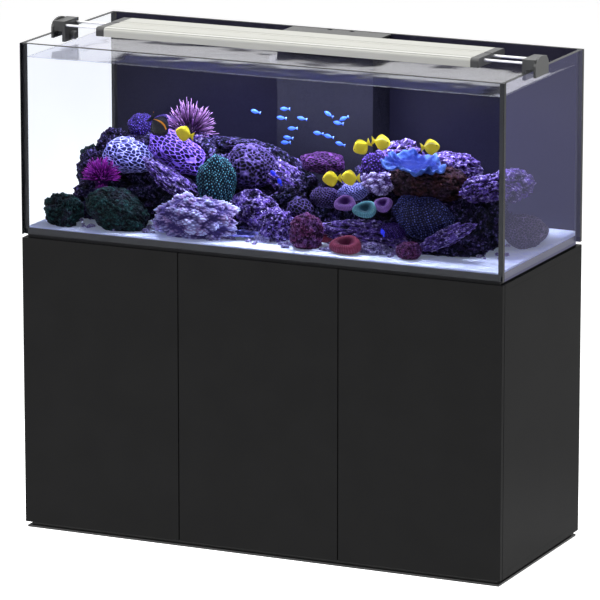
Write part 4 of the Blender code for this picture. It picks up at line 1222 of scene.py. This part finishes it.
class Reef:
    """The two rock piles with every coral on them."""

    ROCKS = (
        Rock("reef_core_left", (-0.42, 0.02, 0.060), (0.20, 0.12, 0.125), "dark_rock_and_shade", 1.3, detail=7,
             stands_for=("reef_rock_left",)),
        Rock("reef_core_right", (0.40, 0.0, 0.055), (0.20, 0.12, 0.115), "dark_rock_and_shade", 4.1, detail=7,
             stands_for=("reef_rock_right",)),
        Rock("rock_left_corner", (-0.655, -0.215, 0.036), (0.056, 0.050, 0.052), "green_rock", 2.2),
        Rock("rock_left_slope", (-0.620, -0.07, 0.050), (0.072, 0.08, 0.065), "dark_rock_and_shade", 5.2),
        Rock("rock_left_shoulder", (-0.665, 0.03, 0.105), (0.060, 0.07, 0.070), "dark_rock_and_shade", 6.4),
        Rock("rock_left_knob", (-0.700, 0.060, 0.148), (0.034, 0.036, 0.028), "green_rock", 7.9),
        Rock("rock_left_back", (-0.640, 0.080, 0.190), (0.048, 0.045, 0.040), "dark_rock_and_shade", 8.6),
        Rock("rock_left_crown", (-0.500, 0.06, 0.200), (0.100, 0.07, 0.055), "dark_rock_and_shade", 3.7),
        Rock("rock_left_top", (-0.400, 0.06, 0.205), (0.100, 0.07, 0.050), "lavender_rock", 9.1),
        Rock("rock_green_boulder", (-0.492, -0.195, 0.050), (0.098, 0.066, 0.060), "green_rock", 10.3,
             turn=(0, 18, 0), rough=0.16),
        Rock("rock_middle_back", (-0.25, 0.06, 0.130), (0.14, 0.08, 0.105), "dark_rock_and_shade", 11.8),
        Rock("rock_ridge", (-0.215, 0.05, 0.222), (0.105, 0.035, 0.018), "dark_rock_and_shade", 12.5, turn=(0, 3, 0)),
        Rock("rock_ridge_slope", (-0.085, 0.06, 0.165), (0.120, 0.04, 0.040), "dark_rock_and_shade", 13.4, turn=(0, 26, 0)),
        Rock("rock_middle_low", (-0.20, -0.02, 0.050), (0.16, 0.11, 0.070), "dark_rock_and_shade", 14.6),
        Rock("rock_lavender_middle", (-0.115, -0.075, 0.060), (0.078, 0.060, 0.052), "lavender_rock", 15.2),
        Rock("rock_purple_grey", (-0.005, -0.150, 0.042), (0.056, 0.050, 0.047), "lavender_rock", 16.9),
        Rock("rock_behind_plates", (-0.03, 0.03, 0.080), (0.09, 0.09, 0.075), "dark_rock_and_shade", 17.1),
        Rock("rock_right_foot", (0.13, 0.02, 0.085), (0.085, 0.085, 0.080), "dark_rock_and_shade", 18.2),
        Rock("rock_right_rise", (0.26, 0.02, 0.140), (0.10, 0.085, 0.095), "dark_rock_and_shade", 19.3),
        Rock("rock_brown_shelf", (0.418, -0.045, 0.185), (0.118, 0.070, 0.058), "brown_rock", 20.4, rough=0.2),
        Rock("rock_top_right", (0.46, 0.02, 0.215), (0.085, 0.06, 0.050), "lavender_rock", 21.5),
        Rock("rock_top_middle", (0.30, 0.03, 0.235), (0.070, 0.055, 0.045), "lavender_rock", 22.6),
        Rock("rock_right_end", (0.56, 0.0, 0.070), (0.080, 0.09, 0.085), "dark_rock_and_shade", 23.7),
        Rock("rock_right_front", (0.26, -0.13, 0.035), (0.125, 0.065, 0.040), "lavender_rock", 24.8),
        Rock("rock_right_low", (0.50, -0.10, 0.025), (0.110, 0.060, 0.040), "dark_rock_and_shade", 25.9),
        Rock("rubble_front", (0.312, -0.190, 0.012), (0.045, 0.030, 0.018), "pale_rubble", 26.1),
        Rock("rubble_heap", (0.165, -0.120, 0.014), (0.040, 0.030, 0.020), "pale_rubble", 27.2),
        Rock("rose_stone", (0.432, -0.215, 0.022), (0.037, 0.030, 0.026), "rose_rock", 28.3, rough=0.12),
        Rock("rose_ribbed_stone", (0.112, -0.205, 0.042), (0.049, 0.045, 0.056), "rose_rock", 29.4, rough=0.2),
        Rock("speckled_log", (0.528, -0.170, 0.062), (0.088, 0.026, 0.024), "lavender_rock", 30.5,
             turn=(0, -27, 0)),
        Rock("sloping_shelf", (-0.361, -0.11, 0.140), (0.088, 0.060, 0.024), "lavender_rock", 31.6,
             turn=(0, 33, 0)),
    )

    CORALS = (
        Rock("anemone_foot", (-0.578, -0.125, 0.088), (0.017, 0.017, 0.048), "magenta_tentacle", 1.0, detail=5,
             rough=0.16, crag_scale=2.2),
        TentacleCoral("anemone", (-0.580, -0.122, 0.118), (0.060, 0.058, 0.074), "magenta_tentacle", 1.1,
                      count=170, thickness=0.0028, bend=0.55, spread=1.5),
        TentacleCoral("branching_coral", (-0.378, 0.045, 0.240), (0.086, 0.075, 0.108), "pink_branch", 2.2,
                      count=140, thickness=0.0020, bend=0.30, spread=1.45, turn=(0, 8, 0)),
        DotCoral("dome_coral", (-0.530, 0.045, 0.252), (0.040, 0.038, 0.036), "indigo_coral", 3.3, dots=420),
        CellCoral("honeycomb_coral", (-0.532, -0.035, 0.180), (0.074, 0.060, 0.038), "lavender_coral", 4.4,
                  cells_round=300, wall=0.36, depth=0.06, shake=0.42, turn=(20, 12, 0), detail=7),
        CellCoral("purple_brain", (-0.375, -0.045, 0.206), (0.088, 0.060, 0.040), "violet_coral", 5.5,
                  cells_round=340, wall=0.36, depth=0.06, shake=0.42, turn=(20, 26, 0), detail=7),
        DotCoral("teal_coral", (-0.222, -0.095, 0.135), (0.058, 0.052, 0.080), "teal_coral", 6.6,
                 dots=1000, depth=0.05, detail=7),
        FrillCoral("frilly_coral", (-0.245, -0.190, 0.045), (0.118, 0.070, 0.060), "frosted_frill", 7.7,
                   detail=7),
        CellCoral("maze_coral", (-0.150, -0.020, 0.176), (0.074, 0.058, 0.062), "dusk_maze", 8.8,
                  cells_round=460, depth=0.08, shake=0.8),
        Rock("speckled_plate", (-0.055, 0.005, 0.150), (0.075, 0.050, 0.030), "lavender_rock", 9.9,
             turn=(15, 28, 0)),
        CellCoral("maroon_brain", (0.072, -0.005, 0.205), (0.062, 0.052, 0.030), "maroon_coral", 10.1,
                  cells_round=380, shake=0.5),
        DotCoral("pebbly_coral", (0.255, -0.055, 0.212), (0.040, 0.036, 0.042), "violet_coral", 11.2,
                 dots=260, depth=0.09),
        FrillCoral("cup_coral", (0.276, -0.080, 0.178), (0.048, 0.040, 0.030), "cup_coral", 12.3,
                   tufts=50, frills=700),
        PlateCoral("blue_plate_coral", (0.400, -0.110, 0.238), (0.090, 0.064, 0.050), "blue_plate", 13.4,
                   turn=(10, 5, 0)),
        CellCoral("blue_speckled", (0.214, -0.110, 0.152), (0.040, 0.032, 0.024), "lavender_coral", 14.5,
                  cells_round=300),
        RingCoral("lavender_ring", (0.208, -0.150, 0.124), (0.032, 0.026, 0.014), "purple_ring", 15.6,
                  turn=(40, 0, 0)),
        RingCoral("green_disc", (0.274, -0.160, 0.114), (0.036, 0.028, 0.012), "sea_green_disc", 16.7,
                  turn=(42, 0, 0), folds=34),
        RingCoral("purple_ring", (0.321, -0.140, 0.128), (0.027, 0.024, 0.013), "purple_ring", 17.8,
                  turn=(40, 0, 0)),
        DotCoral("midnight_coral", (0.436, -0.120, 0.100), (0.084, 0.062, 0.058), "midnight_dome", 18.9,
                 dots=1100, turn=(0, 14, 0), detail=7),
        Rock("knobby_rock", (0.592, -0.050, 0.182), (0.074, 0.052, 0.038), "lavender_rock", 19.1,
             turn=(0, -14, 0)),
        Rock("knobby_back", (0.622, 0.070, 0.175), (0.062, 0.056, 0.044), "lavender_rock", 20.2),
        CellCoral("oval_coral", (0.668, 0.060, 0.044), (0.054, 0.092, 0.050), "mauve_coral", 21.3,
                  cells_round=700, shake=0.5, turn=(-12, 0, 0), detail=7),
        RingCoral("red_ring_coral", (0.244, -0.222, 0.018), (0.047, 0.036, 0.020), "red_ring", 22.4,
                  turn=(22, 0, 0)),
        RingCoral("small_red_coral", (0.145, -0.165, 0.018), (0.027, 0.022, 0.012), "red_ring", 23.5),
        PlateCoral("sand_disc", (-0.105, -0.175, 0.006), (0.048, 0.036, 0.012), "lavender_coral", 24.6,
                   curl=0.5, waves=3),
        CellCoral("small_violet", (0.105, -0.055, 0.115), (0.045, 0.040, 0.030), "dusk_maze", 25.7),
        DotCoral("rose_cluster", (0.355, -0.155, 0.060), (0.040, 0.030, 0.022), "violet_coral", 26.8),
        CellCoral("clam", (0.045, -0.105, 0.085), (0.036, 0.030, 0.030), "dusk_maze", 27.9, cells_round=120),
        DotCoral("left_back_tuft", (-0.470, 0.075, 0.262), (0.038, 0.030, 0.022), "indigo_coral", 28.2),
    )

    RUBBLE = (
        Rubble("rubble_left", (-0.40, -0.20, 0.0), (0.26, 0.045, 0.007), "pale_rubble", 1.7, stones=26),
        Rubble("rubble_middle", (-0.02, -0.18, 0.0), (0.16, 0.060, 0.009), "pale_rubble", 2.8, stones=30),
        Rubble("rubble_right", (0.30, -0.18, 0.0), (0.20, 0.045, 0.007), "pale_rubble", 3.9, stones=26),
        Rubble("rubble_end", (0.62, -0.05, 0.0), (0.06, 0.120, 0.006), "pale_rubble", 5.1, stones=9),
    )

    def build(self, room: Room) -> None:
        """Build every rock and coral."""
        for growth in (*self.ROCKS, *self.CORALS, *self.RUBBLE):
            piece = growth.build(room)
            LOG.info("%s: %d faces", piece.name, len(piece.data.polygons))


# ---------------------------------------------------------------- fish

class Swim(Enum):
    """Which way a fish faces."""

    LEFT = -1
    RIGHT = 1


@dataclass
class Fish:
    """A small fish: a tapered body with its fins as one piece, and its eyes as a second piece."""

    name: str
    place: tuple[float, float, float]
    length: float
    tall: float
    finish: str
    facing: Swim = Swim.LEFT
    pitch: float = 0.0
    slim: float = 0.12
    fins: bool = True

    def build(self, room: Room) -> None:
        """Build the body, the fins and the eyes."""
        shape = bmesh.new()
        bmesh.ops.create_uvsphere(shape, u_segments=20, v_segments=18, radius=1.0,
                                  matrix=Matrix.Rotation(math.pi / 2, 4, "Y"))
        for vert in shape.verts:
            self.taper(vert)
        grown = [0.0] * len(shape.verts)
        grown += self.tail(shape)
        if self.fins:
            grown += self.fin(shape, 1.0)
            grown += self.fin(shape, -1.0)
        turn = Euler((0.0, math.radians(self.pitch), 0.0)).to_matrix().to_4x4()
        flip = Matrix.Rotation(math.pi if self.facing is Swim.RIGHT else 0.0, 4, "Z")
        middle = Vector((self.place[0], self.place[1], room.sand + self.place[2]))
        matrix = Matrix.Translation(middle) @ turn @ flip
        bmesh.ops.transform(shape, matrix=matrix, verts=list(shape.verts))
        bmesh.ops.recalc_face_normals(shape, faces=list(shape.faces))
        piece = finish_piece(shape, self.name, self.finish)
        mark_growth(piece, grown)
        self.eyes(matrix)

    def taper(self, vert: bmesh.types.BMVert) -> None:
        """Shape one point of the body: the nose points to -X."""
        along = vert.co.x
        half = self.length * 0.40
        nose = 1.0 - 0.35 * max(0.0, -along - 0.35) * 1.4
        peduncle = 1.0 - 0.62 * max(0.0, along) ** 1.6
        vert.co = Vector((along * half, vert.co.y * self.length * self.slim * peduncle,
                          vert.co.z * self.tall * 0.5 * nose * peduncle))

    def tail(self, shape: bmesh.types.BMesh) -> list[float]:
        """Add the forked tail and return its growth values."""
        root, end = self.length * 0.36, self.length * 0.56
        half = self.tall * (0.34 if self.fins else 0.42)
        outline = [(root, 0.08 * self.tall), (end * 0.9, half * 0.8), (end, half), (end * 0.93, 0.0),
                   (end, -half), (end * 0.9, -half * 0.8), (root, -0.08 * self.tall)]
        return self.blade(shape, outline, self.length * 0.012, 0.7)

    def fin(self, shape: bmesh.types.BMesh, up: float) -> list[float]:
        """Add the fin along the back or the belly and return its growth values."""
        steps = 9
        outline = []
        for index in range(steps):
            share = index / (steps - 1)
            x = (-0.20 + 0.56 * share) * self.length
            lift = 0.30 - 0.18 * share + 0.36 * max(0.0, math.sin(math.pi * share)) ** 0.8
            outline.append((x, up * self.tall * lift))
        outline += [(0.34 * self.length, up * self.tall * 0.10), (-0.20 * self.length, up * self.tall * 0.20)]
        return self.blade(shape, outline, self.length * 0.014, 0.30)

    def blade(self, shape: bmesh.types.BMesh, outline: list[tuple[float, float]], thickness: float,
              growth: float) -> list[float]:
        """Extrude a thin fin from its outline in X and Z.

        Args:
            shape: the bmesh to add to.
            outline: its points.
            thickness: how thick it is.
            growth: the growth value for its colour.

        Returns:
            The growth of each new vertex.
        """
        verts = [shape.verts.new((x, -thickness / 2, z)) for x, z in outline]
        face = shape.faces.new(verts)
        made = bmesh.ops.extrude_face_region(shape, geom=[face])["geom"]
        moved = verts_of(made)
        bmesh.ops.translate(shape, verts=moved, vec=(0, thickness, 0))
        return [growth] * (len(verts) + len(moved))

    def eyes(self, matrix: Matrix) -> None:
        """Add both eyes as one dark piece."""
        shape = bmesh.new()
        radius = self.length * 0.028
        for side in (-1, 1):
            spot = Matrix.Translation((-self.length * 0.30, side * self.length * self.slim * 0.62,
                                       self.tall * 0.08))
            bmesh.ops.create_uvsphere(shape, u_segments=10, v_segments=8, radius=radius, matrix=matrix @ spot)
        finish_piece(shape, self.name + "_eyes", "fish_eye")


class Shoal:
    """All the fish."""

    TANGS = (
        ("tang_left", (-0.316, -0.12, 0.278), Swim.LEFT, 12.0),
        ("tang_low_left", (0.156, -0.14, 0.190), Swim.LEFT, -8.0),
        ("tang_low_right", (0.214, -0.14, 0.198), Swim.LEFT, -3.0),
        ("tang_high_left", (0.232, -0.10, 0.280), Swim.LEFT, -30.0),
        ("tang_high", (0.295, -0.09, 0.297), Swim.RIGHT, 4.0),
        ("tang_right", (0.459, -0.12, 0.304), Swim.RIGHT, -8.0),
    )
    CHROMIS = ((-0.155, 0.330, 10), (-0.062, 0.345, -4), (-0.073, 0.318, 2), (-0.008, 0.322, 8), (-0.038, 0.290, -6),
               (-0.052, 0.262, 4), (-0.060, 0.247, -3), (0.076, 0.342, 28), (0.124, 0.332, -24),
               (0.106, 0.318, 6), (0.043, 0.283, 3), (0.076, 0.277, 10), (0.112, 0.258, 12))
    ROYALS = ((-0.065, -0.05, 0.170, 38), (-0.040, -0.06, 0.150, 60), (0.345, -0.20, 0.065, 70))

    def build(self, room: Room) -> None:
        """Build the tangs, the blue shoal and the dark fish."""
        for name, place, facing, pitch in self.TANGS:
            Fish(name, place, 0.062, 0.040, "yellow_skin", facing, pitch).build(room)
        Fish("dark_fish", (-0.398, -0.105, 0.288), 0.076, 0.060, "black_skin", Swim.RIGHT, 40.0).build(room)
        for index, (x, z, pitch) in enumerate(self.CHROMIS):
            Fish("chromis_%02d" % index, (x, 0.02, z), 0.033, 0.012, "blue_skin", Swim.LEFT, pitch, slim=0.09,
                 fins=False).build(room)
        for index, (x, y, z, pitch) in enumerate(self.ROYALS):
            Fish("royal_%d" % index, (x, y, z), 0.026, 0.012, "royal_skin", Swim.LEFT, pitch, slim=0.10).build(room)


# ---------------------------------------------------------------- lamp

@dataclass
class Lamp:
    """The lamp bar with its clamps: finishes for the CAD nodes, painted shadow lines at its seams and a painted
    highlight along its front lip.
    """

    seams: tuple[float, ...] = (0.14, 0.60)
    seam_shadow_width: float = 0.0022
    lip_from_edge: float = 0.004
    lip_highlight_width: float = 0.0075
    end_inset: float = 0.002
    sunk: float = 0.0006

    def strip(self, name: str, finish: str, start: float, end: float, proud: float) -> None:
        """Lay a thin strip along the housing's top between two places in Y."""
        low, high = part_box("lamp_housing")
        shape = bmesh.new()
        add_block(shape, Vector((low.x + self.end_inset, start, high.z - self.sunk)),
                  Vector((high.x - self.end_inset, end, high.z + proud)), 0.0002)
        finish_piece(shape, name, finish, "lamp", smooth=False)

    def painted_light_trims(self) -> None:
        """Paint dark shadow lines along the housing's seams and a bright highlight strip along its front lip."""
        low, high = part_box("lamp_housing")
        # painted shadow lines where the housing has seams
        for index, share in enumerate(self.seams):
            y = low.y + (high.y - low.y) * share
            self.strip("lamp_seam_%d" % index, "lamp_seam_shadow", y, y + self.seam_shadow_width, 0.0003)
        # painted highlight along the front lip
        lip = low.y + self.lip_from_edge
        self.strip("lamp_lip_highlight", "lamp_lip_highlight", lip, lip + self.lip_highlight_width, 0.0004)

    def build(self) -> None:
        """Dress the nodes and add the painted seam shadows and the painted lip highlight."""
        dress("off_white_extrusion", "lamp_housing")
        dress("lit_lens", "lamp_led_strip")
        dress("lamp_black", "lamp_end_cap_left", "lamp_end_cap_right", "lamp_clamp_left", "lamp_clamp_right",
              "clamp_screw_left", "clamp_screw_right")
        dress("bright_rod", *[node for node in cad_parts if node.startswith("lamp_rod_")])
        self.painted_light_trims()


# ---------------------------------------------------------------- stage

@dataclass
class Studio:
    """The pale floor, the soft lights and the camera."""

    azimuth: float = math.radians(24.84)
    elevation: float = math.radians(13.14)
    distance: float = 14.70
    target: Vector = field(default_factory=lambda: Vector((-0.0146, 0.0247, 0.6846)))
    lens: float = 305.35
    sensor: float = 36.0
    bounces: int = 12
    clear_bounces: int = 40
    world_light: float = 0.42

    SOFTBOXES = (
        ("key_softbox", (-2.5, -4.5, 5.0), 3.5, 260.0),
        ("fill_softbox", (4.5, -3.0, 3.5), 3.0, 55.0),
        ("top_softbox", (0.0, 1.5, 5.5), 4.0, 160.0),
    )

    def build(self) -> None:
        """Build the stage."""
        self.floor()
        self.world()
        for name, place, size, power in self.SOFTBOXES:
            self.light(name, place, size, power)
        self.lamp_glow()
        self.camera()
        scene = bpy.context.scene
        scene.view_settings.view_transform = "Standard"
        scene.cycles.max_bounces = self.bounces
        scene.cycles.transparent_max_bounces = self.clear_bounces

    def floor(self) -> None:
        """A plain pale floor that gives some light of its own, less behind the object."""
        shape = bmesh.new()
        bmesh.ops.create_grid(shape, x_segments=2, y_segments=2, size=30.0)
        mesh = bpy.data.meshes.new("floor")
        shape.to_mesh(mesh)
        shape.free()
        floor = link("floor", mesh)
        wiring = MaterialWiring("pale_floor")
        depth = wiring.add("SeparateXYZ", {0: wiring.place}).outputs["Y"]
        near = wiring.span(depth, -4.2, -0.2, 0.20, 1.20)
        behind = wiring.span(depth, 0.2, 1.2, 0.0, 0.70)
        mesh.materials.append(wiring.principled(Base_Color=(0.85, 0.85, 0.85), Roughness=0.6,
                                                Emission_Color=(1.0, 1.0, 1.0),
                                                Emission_Strength=wiring.maths("SUBTRACT", near, behind)))

    def world(self) -> None:
        """White where it is seen or mirrored, softer for the light that it gives."""
        world = bpy.data.worlds.new("studio")
        world.use_nodes = True
        wiring = Wiring(world.node_tree)
        diffuse = wiring.add("LightPath").outputs["Is Diffuse Ray"]
        strength = wiring.span(diffuse, 0.0, 1.0, 1.0, self.world_light)
        background = wiring.add("Background", {"Color": (1.0, 1.0, 1.0), "Strength": strength})
        output = wiring.add("OutputWorld")
        wiring.feed(output.inputs["Surface"], background.outputs[0])
        bpy.context.scene.world = world

    def lamp_glow(self) -> None:
        """The lamp's own blue-white light, spread under the water's surface."""
        data = bpy.data.lights.new("lamp_glow", "AREA")
        data.shape = "RECTANGLE"
        data.size, data.size_y = 1.15, 0.10
        data.energy = 15.0
        data.color = (0.74, 0.78, 1.0)
        glow = link("lamp_glow", data)
        glow.location = (0.0, -0.05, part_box("tank_front_glass")[1].z - 0.045)
        glow.visible_camera = False
        glow.visible_glossy = False

    def light(self, name: str, place: tuple[float, float, float], size: float, power: float) -> None:
        """Add one soft area light that looks at the middle of the object."""
        data = bpy.data.lights.new(name, "AREA")
        data.shape = "SQUARE"
        data.size = size
        data.energy = power
        lamp = link(name, data)
        lamp.location = place
        lamp.rotation_mode = "QUATERNION"
        lamp.rotation_quaternion = (Vector(place) - self.target).to_track_quat("Z", "Y")

    def camera(self) -> None:
        """Look from the front right and a little above."""
        data = bpy.data.cameras.new("camera")
        data.lens = self.lens
        data.sensor_width = self.sensor
        data.clip_end = 100.0
        camera = link("camera", data)
        back = Vector((math.sin(self.azimuth) * math.cos(self.elevation),
                       -math.cos(self.azimuth) * math.cos(self.elevation), math.sin(self.elevation)))
        camera.location = self.target + back * self.distance
        camera.rotation_mode = "QUATERNION"
        camera.rotation_quaternion = back.to_track_quat("Z", "Y")
        bpy.context.scene.camera = camera


def report(label: str, work: Callable[[], object]) -> None:
    """Run one part of the build and log that it is done."""
    work()
    LOG.info("%s done", label)


def main() -> None:
    """Build the object's looks and its stage."""
    logging.basicConfig(level=logging.INFO, format="%(name)s: %(message)s")
    room = Room()
    report("studio", Studio().build)
    report("cabinet", Cabinet().build)
    report("tank", Tank().build)
    report("water", Water(room).build)
    report("sand", SandBed(room).build)
    report("reef", lambda: Reef().build(room))
    report("fish", lambda: Shoal().build(room))
    report("lamp", Lamp().build)


if __name__ == "__main__":
    main()
